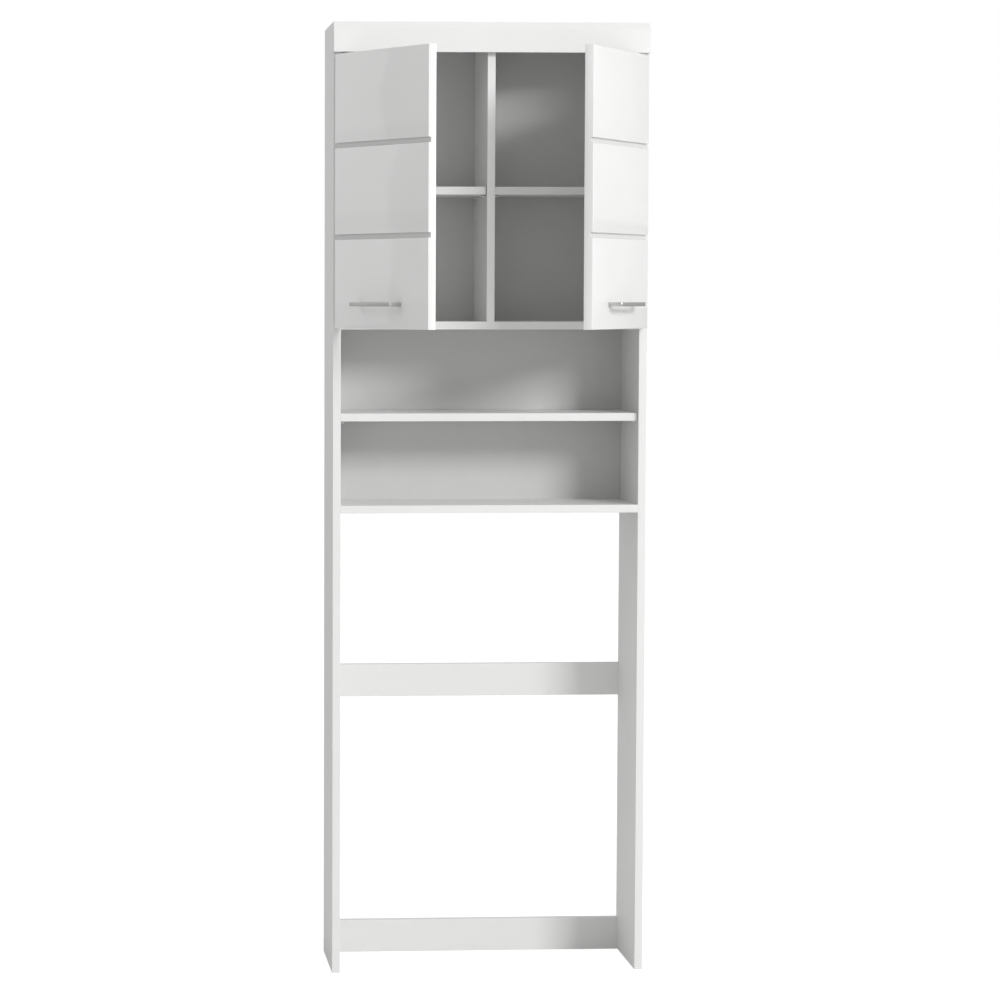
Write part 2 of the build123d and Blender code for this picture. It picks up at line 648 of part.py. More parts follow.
with BuildPart() as cup_screws:
    rear = door_rear(DOOR_BACK_V)
    length = CUP_SCREW_IN + FLANGE_THICK
    round_bar(rear.offset(-CUP_SCREW_IN), from_rear(ear_marks), CUP_SCREW_R, length)
    round_bar(rear.offset(FLANGE_THICK), from_rear(ear_marks), SCREW_HEAD_R, SCREW_HEAD)
keep_pair("cup_screws", cup_screws)

link_angle = radians(LINK_SHUT_ANGLE + LINK_RATIO * DOOR_ANGLE)
link_dir = (cos(link_angle), sin(link_angle), 0)
with BuildPart() as hinge_links:
    for z in HINGE_Z:
        lie = Plane(origin=(*LINK_PIN, z - LINK_TALL / 2), x_dir=link_dir, z_dir=(0, 0, 1))
        with BuildSketch(lie) as strap:
            Circle(LINK_EYE_R)
            with Locations((LINK_LENGTH / 2, 0)):
                Rectangle(LINK_LENGTH, LINK_THICK)
            Circle(LINK_PIN_R + LINK_RUNNING_FIT, mode=Mode.SUBTRACT)
        extrude(strap.sketch, amount=LINK_TALL)
        low = lie.offset((LINK_TALL - ARM_NECK_TALL) / 2)
        round_bar(low, [(LINK_LENGTH, 0)], LINK_END_R, ARM_NECK_TALL)
keep_pair("hinge_links", hinge_links)

with BuildPart() as hinge_arms:
    for z in HINGE_Z:
        with BuildSketch(Plane.XY.offset(z - ARM_NECK_TALL / 2)) as neck:
            with BuildLine():
                Polyline(
                    (LINK_PIN[0] - NECK_R, LINK_PIN[1]),
                    (LINK_PIN[0] - NECK_R, ARM_NECK_BEND_Y),
                    (ARM_X[0], ARM_Y[0]),
                    (ARM_X[1] - ARM_NECK_INSET, ARM_Y[0]),
                    (LINK_PIN[0] + NECK_R, ARM_NECK_BEND_Y),
                    (LINK_PIN[0] + NECK_R, LINK_PIN[1]),
                    close=True,
                )
            make_face()
            with Locations(LINK_PIN):
                Circle(NECK_R)
        extrude(neck.sketch, amount=ARM_NECK_TALL)
        slab(ARM_X, ARM_Y, (z - ARM_BODY_TALL / 2, z + ARM_BODY_TALL / 2))
        with BuildSketch(Plane.XY.offset(z - FORK_SLOT / 2)) as slot:
            with Locations(LINK_PIN):
                Rectangle(4 * NECK_R, FORK_SLOT_DEEP)
        extrude(slot.sketch, amount=FORK_SLOT, mode=Mode.SUBTRACT)
        round_top = Plane.XY.offset(z + ARM_NECK_TALL / 2)
        drill(round_top, [LINK_PIN], LINK_PIN_R + LINK_RUNNING_FIT, ARM_NECK_TALL)
keep_pair("hinge_arms", hinge_arms)

with BuildPart() as hinge_pins:
    for z in HINGE_Z:
        foot = Plane.XY.offset(z - ARM_NECK_TALL / 2 - PLAY)
        round_bar(foot, [LINK_PIN], LINK_PIN_R, ARM_NECK_TALL + 2 * PLAY)
keep_pair("hinge_pins", hinge_pins)

with BuildPart() as hinge_plates:
    plate_y = FRONT_Y + PLATE_LINE
    for z in HINGE_Z:
        slab(
            (INNER_X - PLATE_THICK, INNER_X),
            (plate_y - PLATE_WIDE / 2, plate_y + PLATE_WIDE / 2),
            (z - PLATE_TALL / 2, z + PLATE_TALL / 2),
        )
        slab(
            (ARM_X[1], INNER_X - PLATE_THICK),
            (plate_y - PLATE_WIDE, plate_y + PLATE_WIDE),
            (z - ARM_BODY_TALL / 2, z + ARM_BODY_TALL / 2),
        )
    plate_front = inner_face.offset(PLATE_THICK)
    drill(plate_front, plate_screw_marks, SCREW_R + PLAY, PLATE_THICK)
keep_pair("hinge_plates", hinge_plates)

with BuildPart() as plate_screws:
    length = BOLT_THREAD + PLATE_THICK
    round_bar(inner_face.offset(-BOLT_THREAD), plate_screw_marks, SCREW_R, length)
    round_bar(inner_face.offset(PLATE_THICK), plate_screw_marks, SCREW_HEAD_R, SCREW_HEAD)
keep_pair("plate_screws", plate_screws)

with BuildPart() as adjuster_screws:
    arm_face = inner_face.offset(INNER_X - ARM_X[0])
    spots = [(DEPTH - line, z) for z in HINGE_Z for line in ADJUSTER_LINES]
    round_bar(arm_face, spots, SCREW_HEAD_R, ADJUSTER_HEAD)
    cross_long, cross_wide, cross_deep = ADJUSTER_CROSS
    for turn in (0, 90):
        with BuildSketch(arm_face.offset(ADJUSTER_HEAD)) as cross:
            with Locations(*spots):
                Rectangle(cross_long, cross_wide, rotation=turn)
        extrude(cross.sketch, amount=-cross_deep, mode=Mode.SUBTRACT)
keep_pair("adjuster_screws", adjuster_screws)
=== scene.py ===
"""Looks of an over-the-toilet storage cabinet, built around its CAD frame.

The boards of the carcass keep their CAD shapes and get their finishes here. The doors, handles,
hinges and small fittings are modelled again with softer, more finished forms, and stand for their
CAD nodes. Every sided piece is modelled on the right and mirrored to the left. Lengths are metres.
"""

import json
import logging
from contextlib import contextmanager
from dataclasses import dataclass, field
from enum import Enum
from math import cos, pi, radians, sin
from typing import Callable, Iterable, Iterator

import bmesh
import bpy
from mathutils import Matrix, Vector


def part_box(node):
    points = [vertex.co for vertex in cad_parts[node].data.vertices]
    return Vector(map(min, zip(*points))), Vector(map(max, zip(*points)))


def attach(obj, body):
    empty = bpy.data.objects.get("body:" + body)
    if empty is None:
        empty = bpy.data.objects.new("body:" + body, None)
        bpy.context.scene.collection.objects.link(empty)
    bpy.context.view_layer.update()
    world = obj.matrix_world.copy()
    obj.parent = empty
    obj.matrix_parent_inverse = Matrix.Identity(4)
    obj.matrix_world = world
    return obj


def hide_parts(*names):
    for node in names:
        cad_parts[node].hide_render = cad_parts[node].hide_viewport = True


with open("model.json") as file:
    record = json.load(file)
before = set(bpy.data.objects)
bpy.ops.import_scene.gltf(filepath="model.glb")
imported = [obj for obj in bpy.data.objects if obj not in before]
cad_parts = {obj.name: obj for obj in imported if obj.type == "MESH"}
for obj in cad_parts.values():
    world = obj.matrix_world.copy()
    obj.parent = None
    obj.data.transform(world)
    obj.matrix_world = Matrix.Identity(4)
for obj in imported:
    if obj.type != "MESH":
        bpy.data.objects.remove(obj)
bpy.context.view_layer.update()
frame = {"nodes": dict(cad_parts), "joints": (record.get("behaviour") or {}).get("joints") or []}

MM = 0.001
THROUGH = 20.0 * MM  # how far a tool that cuts right through a part reaches to each side
FACING = 0.9  # a unit normal with more than this along an axis faces along it
PEARL = 1100.0  # patches a metre in the fine texture of white foil
UP = Vector((0, 0, 1))
ACROSS = Vector((1, 0, 0))
Colour = tuple[float, float, float]
Test = Callable[[Vector, Vector], bool]
log = logging.getLogger("cabinet")


# ---- shader graphs ---------------------------------------------------------------------------


class Signal:
    """A number that flows between shader nodes and that sums can be written with."""

    def __init__(self, graph: "Graph", socket: bpy.types.NodeSocket) -> None:
        """Keeps the socket and the graph it belongs to."""
        self.graph = graph
        self.socket = socket

    def __add__(self, other: "Signal | float") -> "Signal":
        """This number plus another."""
        return self.graph.maths("ADD", self, other)

    def __sub__(self, other: "Signal | float") -> "Signal":
        """This number less another."""
        return self.graph.maths("SUBTRACT", self, other)

    def __rsub__(self, other: float) -> "Signal":
        """Another number less this one."""
        return self.graph.maths("SUBTRACT", other, self)

    def __mul__(self, other: "Signal | float") -> "Signal":
        """This number times another."""
        return self.graph.maths("MULTIPLY", self, other)

    def __abs__(self) -> "Signal":
        """This number without its sign."""
        return self.graph.maths("ABSOLUTE", self)

    def __gt__(self, other: "Signal | float") -> "Signal":
        """1 where this number is above another, else 0."""
        return self.graph.maths("GREATER_THAN", self, other)

    def __lt__(self, other: "Signal | float") -> "Signal":
        """1 where this number is below another, else 0."""
        return self.graph.maths("LESS_THAN", self, other)

    __radd__ = __add__
    __rmul__ = __mul__


class Graph:
    """The node tree of one material."""

    def __init__(self, name: str) -> None:
        """Starts an empty material with the coordinates of the piece it goes on."""
        self.material = bpy.data.materials.new(name)
        self.material.use_nodes = True
        self.tree = self.material.node_tree
        self.tree.nodes.clear()
        self.place = self.node("ShaderNodeTexCoord").outputs["Object"]
        axes = self.node("ShaderNodeSeparateXYZ", inputs={"Vector": self.place})
        self.x, self.y, self.z = (Signal(self, out) for out in axes.outputs)

    def node(
        self, kind: str, settings: dict | None = None, inputs: dict | None = None
    ) -> bpy.types.Node:
        """Adds a node.

        Args:
            kind: the node's type.
            settings: its own settings, set first; "stops" holds a ramp's places and colours.
            inputs: the values or links of its sockets.

        Returns:
            The new node.
        """
        made = self.tree.nodes.new(kind)
        for key, value in (settings or {}).items():
            if key == "stops":
                ramp = made.color_ramp.elements
                for index, (at, colour) in enumerate(value):
                    stop = ramp[index] if index < 2 else ramp.new(at)
                    stop.position = at
                    stop.color = (*colour, 1)
            else:
                setattr(made, key, value)
        for key, value in (inputs or {}).items():
            if isinstance(value, Signal):
                self.tree.links.new(value.socket, made.inputs[key])
            elif isinstance(value, bpy.types.NodeSocket):
                self.tree.links.new(value, made.inputs[key])
            else:
                made.inputs[key].default_value = value
        return made

    def maths(self, operation: str, *values: "Signal | float") -> Signal:
        """The result of a Math node on up to three numbers."""
        made = self.node("ShaderNodeMath", {"operation": operation}, dict(enumerate(values)))
        return Signal(self, made.outputs[0])

    def clamped(self, value: Signal) -> Signal:
        """A number held between 0 and 1."""
        return self.maths("MINIMUM", self.maths("MAXIMUM", value, 0.0), 1.0)

    def blend(self, share: Signal, first: object, second: object) -> bpy.types.NodeSocket:
        """A colour between two colours.

        Args:
            share: 0 for the first colour, 1 for the second.
            first: a colour or a colour socket.
            second: a colour or a colour socket.

        Returns:
            The mixed colour's socket.
        """
        mix = self.node("ShaderNodeMix", {"data_type": "RGBA"}, {0: share})
        for index, colour in ((6, first), (7, second)):
            if isinstance(colour, bpy.types.NodeSocket):
                self.tree.links.new(colour, mix.inputs[index])
            else:
                mix.inputs[index].default_value = (*colour, 1)
        return mix.outputs[2]

    def stretched(self, scale: Colour) -> bpy.types.NodeSocket:
        """The piece's coordinates, scaled apart along the three axes."""
        inputs = {"Vector": self.place, "Scale": scale}
        return self.node("ShaderNodeMapping", inputs=inputs).outputs[0]

    def noise(
        self, scale: float, detail: float = 2.0, vector: bpy.types.NodeSocket | None = None
    ) -> Signal:
        """A soft random pattern.

        Args:
            scale: how many patches a metre holds.
            detail: how many finer layers it has.
            vector: the coordinates it follows, or None for the piece's own.

        Returns:
            The pattern, about 0.5 on average.
        """
        inputs = {"Vector": vector or self.place, "Scale": scale, "Detail": detail}
        return Signal(self, self.node("ShaderNodeTexNoise", inputs=inputs).outputs[0])

    def bumps(self, height: Signal, depth: float, strength: float = 1.0) -> bpy.types.NodeSocket:
        """Turns a height into a surface normal, for bumps so many metres deep."""
        inputs = {"Height": height, "Distance": depth, "Strength": strength}
        return self.node("ShaderNodeBump", inputs=inputs).outputs[0]

    def surface(self, **inputs: object) -> bpy.types.Material:
        """Closes the graph with one shader.

        Args:
            inputs: the shader's sockets, with underscores for the spaces in their names.

        Returns:
            The finished material.
        """
        named = {key.replace("_", " "): value for key, value in inputs.items()}
        shader = self.node("ShaderNodeBsdfPrincipled", inputs=named)
        self.node("ShaderNodeOutputMaterial", inputs={"Surface": shader.outputs[0]})
        return self.material


# ---- finishes --------------------------------------------------------------------------------


@dataclass(frozen=True)
class Melamine:
    """White melamine on particle board, with an edge band on the front."""

    name: str
    front: float
    white: Colour = (0.80, 0.80, 0.793)
    shaded: Colour = (0.78, 0.78, 0.772)
    seam: Colour = (0.60, 0.60, 0.585)
    band: float = 0.5 * MM
    seam_half: float = 0.07 * MM
    raw_rear: float | None = None
    board_middle: float = 312.0 * MM
    skin_from: float = 7.7 * MM
    roughness: float = 0.34
    cloud_scale: float = 9.0
    fibre_scale: float = 420.0
    chip_scale: float = 620.0
    relief: float = 0.035 * MM

    def make(self) -> bpy.types.Material:
        """Builds the material."""
        graph = Graph(self.name)
        pearl = graph.noise(PEARL, 3.0)
        cloud = graph.noise(self.cloud_scale, 4.0)
        beside_seam = abs(graph.y - (self.front + self.band))
        seam = beside_seam < self.seam_half
        colour = graph.blend(graph.clamped(cloud * 2.0 - 0.5), self.white, self.shaded)
        colour = graph.blend(seam, colour, self.seam)
        roughness = self.roughness + pearl * 0.14 + seam * 0.2
        height = pearl - seam * 0.6
        if self.raw_rear is not None:
            colour, rear = self.chipboard(graph, colour)
            roughness = roughness + rear * 0.4
            height = height + rear * graph.noise(self.fibre_scale, 4.0) * 6.0
        return graph.surface(
            Base_Color=colour,
            Roughness=roughness,
            Normal=graph.bumps(height, self.relief, 0.5),
            Specular_IOR_Level=0.45,
        )

    def chipboard(
        self, graph: Graph, colour: bpy.types.NodeSocket
    ) -> tuple[bpy.types.NodeSocket, Signal]:
        """Lays bare particle board on the rear edge, between its two white skins.

        Args:
            graph: the graph being built.
            colour: the colour of the rest of the board.

        Returns:
            The colour with the bare edge, and where the edge is.
        """
        across = abs(abs(graph.x) - self.board_middle)
        rear = (graph.y > self.raw_rear) * (across < self.skin_from)
        chips = graph.node(
            "ShaderNodeTexVoronoi",
            inputs={"Vector": graph.stretched((1.0, 1.0, 0.45)), "Scale": self.chip_scale},
        )
        grey = graph.node("ShaderNodeSeparateColor", inputs={"Color": chips.outputs["Color"]})
        wood = graph.node(
            "ShaderNodeValToRGB",
            {
                "stops": (
                    (0.0, (0.23, 0.14, 0.075)),
                    (1.0, (0.66, 0.49, 0.31)),
                    (0.35, (0.42, 0.28, 0.16)),
                    (0.7, (0.55, 0.39, 0.235)),
                )
            },
            {"Fac": Signal(graph, grey.outputs[0])},
        )
        return graph.blend(rear, colour, wood.outputs[0]), rear


@dataclass(frozen=True)
class GlossFoil:
    """White high-gloss foil on a moulded front, with satin grooves painted darker as the shade
    inside them, and a plain satin back.
    """

    name: str
    white: Colour = (0.85, 0.85, 0.843)
    rear_white: Colour = (0.80, 0.80, 0.793)
    # painted shade: the colour of the groove floors, darker than the face for the shade that falls
    # inside the grooves
    groove_painted_shade: Colour = (0.68, 0.68, 0.674)
    pivot: tuple[float, float] = (0.0, 0.0)
    angle: float = 0.0
    rear_face: float | None = None
    grooves: tuple[float, ...] = ()
    groove_half: float = 5.3 * MM
    groove_reach: tuple[float, float] = (0.0, 0.0)
    roughness: float = 0.07
    shade: float = 0.975
    ripple_scale: float = 55.0
    cloud_scale: float = 6.0
    relief: float = 0.05 * MM

    def make(self) -> bpy.types.Material:
        """Builds the material."""
        graph = Graph(self.name)
        ripple = graph.noise(self.ripple_scale, 1.0)
        pearl = graph.noise(PEARL, 3.0)
        cloud = graph.noise(self.cloud_scale, 3.0)
        shaded = tuple(part * self.shade for part in self.white)
        colour = graph.blend(graph.clamped(cloud * 2.0 - 0.5), self.white, shaded)
        roughness = self.roughness + cloud * 0.05
        height = ripple * 0.4
        coat: Signal | float = 1.0
        if self.rear_face is not None:
            along = abs(graph.x) - self.pivot[0]
            out = graph.y - self.pivot[1]
            depth = out * cos(self.angle) - along * sin(self.angle)
            rear = depth > self.rear_face
            first, *others = (abs(graph.z - middle) < self.groove_half for middle in self.grooves)
            shallow, deep = self.groove_reach
            groove = sum(others, first) * (depth > shallow) * (depth < deep)
            colour = graph.blend(rear, colour, self.rear_white)
            # painted shade: the groove floors are coloured darker for the shade that falls in the
            # grooves
            colour = graph.blend(groove, colour, self.groove_painted_shade)
            roughness = roughness + rear * (0.15 + pearl * 0.08) + groove * 0.22
            height = height * (1 - rear) + rear * pearl * 0.5
            coat = graph.clamped(1 - rear - groove)
        return graph.surface(
            Base_Color=colour,
            Roughness=roughness,
            Normal=graph.bumps(height, self.relief, 0.35),
            Coat_Weight=coat,
            Coat_Roughness=0.03,
            Specular_IOR_Level=0.5,
        )


@dataclass(frozen=True)
class Hardboard:
    """Thin hardboard: lacquered white in front, bare pressed fibre behind."""

    name: str
    rear_face: float
    white: Colour = (0.62, 0.62, 0.615)
    fibre_dark: Colour = (0.21, 0.125, 0.07)
    fibre_light: Colour = (0.43, 0.29, 0.18)
    shade: float = 0.97
    roughness: float = 0.42
    fibre_scale: float = 700.0
    blotch_scale: float = 14.0
    mesh_turns: float = 2400.0
    relief: float = 0.05 * MM

    def make(self) -> bpy.types.Material:
        """Builds the material."""
        graph = Graph(self.name)
        fibre = graph.noise(self.fibre_scale, 8.0, graph.stretched((1.0, 1.0, 0.35)))
        blotch = graph.noise(self.blotch_scale, 5.0)
        wires = [abs(graph.maths("SINE", at * self.mesh_turns)) for at in (graph.x, graph.z)]
        mesh_marks = wires[0] * wires[1]
        rear = graph.y > self.rear_face
        pale = graph.clamped(fibre * 1.5 + blotch * 0.6 - 0.55)
        brown = graph.blend(pale, self.fibre_dark, self.fibre_light)
        shaded = tuple(part * self.shade for part in self.white)
        lacquer = graph.blend(graph.clamped(blotch * 1.6 - 0.4), self.white, shaded)
        return graph.surface(
            Base_Color=graph.blend(rear, lacquer, brown),
            Roughness=self.roughness + fibre * 0.12 + rear * 0.3,
            Normal=graph.bumps(fibre + rear * mesh_marks * 2.5, self.relief, 0.5),
            Specular_IOR_Level=0.4,
        )


@dataclass(frozen=True)
class BrushedMetal:
    """Satin nickel, brushed along its length."""

    name: str
    grey: Colour = (0.50, 0.496, 0.483)
    bright: Colour = (0.62, 0.616, 0.60)
    streaks: Colour = (0.02, 0.02, 1.0)
    roughness: float = 0.27
    brush_scale: float = 2600.0
    cloud_scale: float = 60.0
    relief: float = 0.012 * MM

    def make(self) -> bpy.types.Material:
        """Builds the material."""
        graph = Graph(self.name)
        brush = graph.noise(self.brush_scale, 4.0, graph.stretched(self.streaks))
        cloud = graph.noise(self.cloud_scale, 2.0)
        return graph.surface(
            Base_Color=graph.blend(graph.clamped(brush * 1.4 - 0.2), self.grey, self.bright),
            Metallic=1.0,
            Roughness=self.roughness + brush * 0.12 + cloud * 0.04,
            Normal=graph.bumps(brush, self.relief, 0.4),
        )


@dataclass(frozen=True)
class PlatedSteel:
    """Plated steel, with the faint clouds that a plating bath leaves."""

    name: str
    bright: Colour
    dull: Colour
    roughness: float
    cloud_scale: float = 160.0
    grain_scale: float = 2400.0
    relief: float = 0.015 * MM

    def make(self) -> bpy.types.Material:
        """Builds the material."""
        graph = Graph(self.name)
        cloud = graph.noise(self.cloud_scale, 5.0)
        grain = graph.noise(self.grain_scale, 3.0)
        return graph.surface(
            Base_Color=graph.blend(graph.clamped(cloud * 2.2 - 0.6), self.bright, self.dull),
            Metallic=1.0,
            Roughness=self.roughness + cloud * 0.12 + grain * 0.06,
            Normal=graph.bumps(grain, self.relief, 0.5),
        )


@dataclass(frozen=True)
class CastZinc:
    """Die-cast zinc, grainy and dull."""

    name: str
    bright: Colour = (0.60, 0.61, 0.62)
    dull: Colour = (0.40, 0.41, 0.42)
    roughness: float = 0.42
    grain_scale: float = 900.0
    relief: float = 0.06 * MM

    def make(self) -> bpy.types.Material:
        """Builds the material."""
        graph = Graph(self.name)
        grain = graph.noise(self.grain_scale, 6.0)
        return graph.surface(
            Base_Color=graph.blend(graph.clamped(grain * 1.8 - 0.4), self.dull, self.bright),
            Metallic=1.0,
            Roughness=self.roughness + grain * 0.2,
            Normal=graph.bumps(grain, self.relief, 0.6),
        )


@dataclass(frozen=True)
class BeechWood:
    """Beech, with its fine flecked grain."""

    name: str
    pale: Colour = (0.66, 0.47, 0.29)
    dark: Colour = (0.46, 0.29, 0.16)
    roughness: float = 0.55
    grain_scale: float = 900.0
    fleck_scale: float = 1500.0
    relief: float = 0.05 * MM

    def make(self) -> bpy.types.Material:
        """Builds the material."""
        graph = Graph(self.name)
        grain = graph.noise(self.grain_scale, 6.0, graph.stretched((0.12, 1.0, 1.0)))
        fleck = graph.noise(self.fleck_scale, 2.0, graph.stretched((0.3, 1.0, 1.0)))
        return graph.surface(
            Base_Color=graph.blend(graph.clamped(grain + fleck * 0.7 - 0.35), self.pale, self.dark),
            Roughness=self.roughness + grain * 0.15,
            Normal=graph.bumps(grain, self.relief, 0.6),
        )


@dataclass(frozen=True)
class SoftClear:
    """Clear soft plastic, a little cloudy."""

    name: str
    tint: Colour = (0.86, 0.87, 0.88)
    milky: Colour = (0.72, 0.74, 0.76)
    roughness: float = 0.18
    cloud_scale: float = 500.0
    relief: float = 0.02 * MM
    clearness: float = 0.45
    bending: float = 1.48

    def make(self) -> bpy.types.Material:
        """Builds the material."""
        graph = Graph(self.name)
        cloud = graph.noise(self.cloud_scale, 3.0)
        return graph.surface(
            Base_Color=graph.blend(cloud, self.tint, self.milky),
            Roughness=self.roughness + cloud * 0.1,
            Normal=graph.bumps(cloud, self.relief, 0.4),
            Transmission_Weight=self.clearness,
            IOR=self.bending,
        )


# ---- modelling bench -------------------------------------------------------------------------


class Part(Enum):
    """What a selection in edit mode is made of."""

    VERTS = "VERT"
    EDGES = "EDGE"
    FACES = "FACE"


class Work:
    """One mesh piece while it is being shaped with Blender's modelling operators."""

    def __init__(self, piece: bpy.types.Object) -> None:
        """Takes up a piece."""
        self.piece = piece

    @staticmethod
    def clear() -> None:
        """Deselects everything, because operators act on all that is selected."""
        if bpy.context.object and bpy.context.object.mode != "OBJECT":
            bpy.ops.object.mode_set(mode="OBJECT")
        bpy.ops.object.select_all(action="DESELECT")

    @classmethod
    def block(cls, name: str, low: Vector, high: Vector) -> "Work":
        """Starts from a cube stretched between two corners."""
        cls.clear()
        bpy.ops.mesh.primitive_cube_add(size=1.0, location=(low + high) / 2)
        piece = bpy.context.object
        piece.name = name
        piece.scale = high - low
        bpy.ops.object.transform_apply()
        return cls(piece)

    @classmethod
    def rod(cls, name: str, radius: float, bottom: float, top: float, sides: int = 32) -> "Work":
        """Starts from a cylinder about the Z axis, between two heights."""
        cls.clear()
        bpy.ops.mesh.primitive_cylinder_add(
            vertices=sides, radius=radius, depth=top - bottom, location=(0, 0, (bottom + top) / 2)
        )
        piece = bpy.context.object
        piece.name = name
        bpy.ops.object.transform_apply()
        return cls(piece)

    def hold(self) -> None:
        """Makes this piece the only selected and the active one."""
        self.clear()
        self.piece.select_set(True)
        bpy.context.view_layer.objects.active = self.piece

    @contextmanager
    def picked(self, part: Part, test: Test) -> Iterator[None]:
        """Enters edit mode with what passes a test selected, and leaves it afterwards.

        Args:
            part: whether vertices, edges or faces are picked.
            test: says yes or no to a centre and a direction. The direction is a face's normal,
                an edge's unit direction or a vertex's normal.

        Returns:
            A context in which edit operators act on the selection.
        """
        self.hold()
        bpy.ops.object.mode_set(mode="EDIT")
        bpy.ops.mesh.select_mode(type=part.value)
        bpy.ops.mesh.select_all(action="DESELECT")
        mesh = bmesh.from_edit_mesh(self.piece.data)
        if part is Part.FACES:
            chosen = [f for f in mesh.faces if test(f.calc_center_median(), f.normal)]
        elif part is Part.EDGES:
            chosen = [e for e in mesh.edges if test(*edge_lie(e))]
        else:
            chosen = [v for v in mesh.verts if test(v.co, v.normal)]
        for item in chosen:
            item.select_set(True)
        mesh.select_flush_mode()
        bmesh.update_edit_mesh(self.piece.data)
        yield
        bpy.ops.object.mode_set(mode="OBJECT")

    def extrude(self, test: Test, move: Vector, scale: Colour | None = None) -> "Work":
        """Extrudes the faces that pass a test, and may scale the new end about its own middle."""
        with self.picked(Part.FACES, test):
            bpy.ops.mesh.extrude_region_move(TRANSFORM_OT_translate={"value": move})
            if scale:
                bpy.ops.transform.resize(value=scale)
        return self

    def inset(self, test: Test, thickness: float, depth: float) -> "Work":
        """Insets the faces that pass a test, and sinks them when depth is negative."""
        with self.picked(Part.FACES, test):
            bpy.ops.mesh.inset(thickness=thickness, depth=0.0)
            bpy.ops.mesh.inset(thickness=0.0, depth=depth)
        return self

    def bevel(self, test: Test, width: float, segments: int) -> "Work":
        """Rounds the edges that pass a test."""
        with self.picked(Part.EDGES, test):
            bpy.ops.mesh.bevel(offset=width, segments=segments, affect="EDGES")
        return self

    def slide(self, test: Test, move: Vector) -> "Work":
        """Moves the vertices that pass a test."""
        with self.picked(Part.VERTS, test):
            bpy.ops.transform.translate(value=move)
        return self

    def slice(self, point: Vector, normal: Vector) -> "Work":
        """Cuts new edges all round the piece, in a plane."""
        with self.picked(Part.FACES, lambda centre, facing: True):
            bpy.ops.mesh.bisect(plane_co=point, plane_no=normal)
        return self

    def cross(self, long: float, wide: float, deep: float) -> "Work":
        """Cuts a cross recess about the Z axis, measured from its middle to its ends."""
        for arm in (Vector((long, wide, deep)), Vector((wide, long, deep))):
            self.combine(Work.block("slot", -arm, arm), "DIFFERENCE")
        return self

    def combine(self, other: "Work", operation: str) -> "Work":
        """Adds another piece to this one, or cuts it away, and discards it.

        Args:
            other: the second piece.
            operation: UNION or DIFFERENCE.

        Returns:
            This piece.
        """
        self.hold()
        modifier = self.piece.modifiers.new("combine", "BOOLEAN")
        modifier.operation = operation
        modifier.solver = "EXACT"
        modifier.object = other.piece
        bpy.ops.object.modifier_apply(modifier=modifier.name)
        bpy.data.objects.remove(other.piece)
        return self

    def soften(self, width: float, segments: int = 2, angle: float = 35.0) -> "Work":
        """Rounds every edge that is sharper than an angle in degrees, and smooths the shading."""
        self.hold()
        modifier = self.piece.modifiers.new("soften", "BEVEL")
        modifier.width = width
        modifier.segments = segments
        modifier.limit_method = "ANGLE"
        modifier.angle_limit = radians(angle)
        modifier.harden_normals = False
        bpy.ops.object.modifier_apply(modifier=modifier.name)
        return self.smooth()

    def smooth(self, angle: float = 32.0) -> "Work":
        """Shades the piece smooth across edges flatter than an angle in degrees."""
        self.hold()
        bpy.ops.object.shade_smooth_by_angle(angle=radians(angle))
        return self

    def moved(self, matrix: Matrix) -> "Work":
        """Puts the piece's mesh elsewhere, and leaves its object at the origin."""
        self.piece.data.transform(matrix)
        return self

    def named(self, name: str) -> "Work":
        """Names the piece."""
        self.piece.name = name
        return self

    def copy(self, name: str) -> "Work":
        """A second piece of the same shape, with its own mesh."""
        piece = self.piece.copy()
        piece.data = self.piece.data.copy()
        piece.name = name
        bpy.context.scene.collection.objects.link(piece)
        return Work(piece)

    def mirrored(self, name: str) -> "Work":
        """The mirror image of this piece on the other side of the cabinet."""
        twin = self.copy(name)
        twin.piece.data.transform(Matrix.Scale(-1, 4, (1, 0, 0)))
        twin.piece.data.flip_normals()
        return twin

    def gathered(self, name: str, matrices: list[Matrix]) -> "Work":
        """Copies this piece to several places, as one piece, and discards the first.

        Args:
            name: the gathered piece's name.
            matrices: where each copy goes.

        Returns:
            The gathered piece.
        """
        copies = [self.copy(name).moved(matrix) for matrix in matrices]
        self.clear()
        for item in copies:
            item.piece.select_set(True)
        bpy.context.view_layer.objects.active = copies[0].piece
        if len(copies) > 1:
            bpy.ops.object.join()
        copies[0].piece.name = name
        bpy.data.objects.remove(self.piece)
        return copies[0]


def edge_lie(edge: bmesh.types.BMEdge) -> tuple[Vector, Vector]:
    """An edge's middle and its unit direction."""
    first, second = (v.co for v in edge.verts)
    return (first + second) / 2, (second - first).normalized()


def near(value: float, target: float, slack: float = 0.02 * MM) -> bool:
    """Whether two lengths are the same, within a slack."""
    return abs(value - target) < slack


def near_any(value: float, targets: Iterable[float]) -> bool:
    """Whether a length is the same as any of some others."""
    return any(near(value, target) for target in targets)


def on_axis(at: Vector) -> bool:
    """Whether a place is on the Z axis."""
    return at.xy.length < 0.1 * MM


def upward(at: Vector, facing: Vector) -> bool:
    """Whether a face looks up."""
    return facing.z > FACING


def upward_end(at: Vector, facing: Vector) -> bool:
    """Whether a face looks up and has the Z axis through its middle."""
    return upward(at, facing) and on_axis(at)


def along(direction: Vector, axis: int) -> bool:
    """Whether a unit direction lies along one of the axes, either way."""
    return abs(direction[axis]) > 0.99


# ---- what the frame says ---------------------------------------------------------------------


@dataclass(frozen=True)
class Span:
    """The lowest and highest corner of a solid."""

    low: Vector
    high: Vector

    @property
    def middle(self) -> Vector:
        """The solid's middle."""
        return (self.low + self.high) / 2

    @property
    def size(self) -> Vector:
        """The solid's extent along the axes."""
        return self.high - self.low


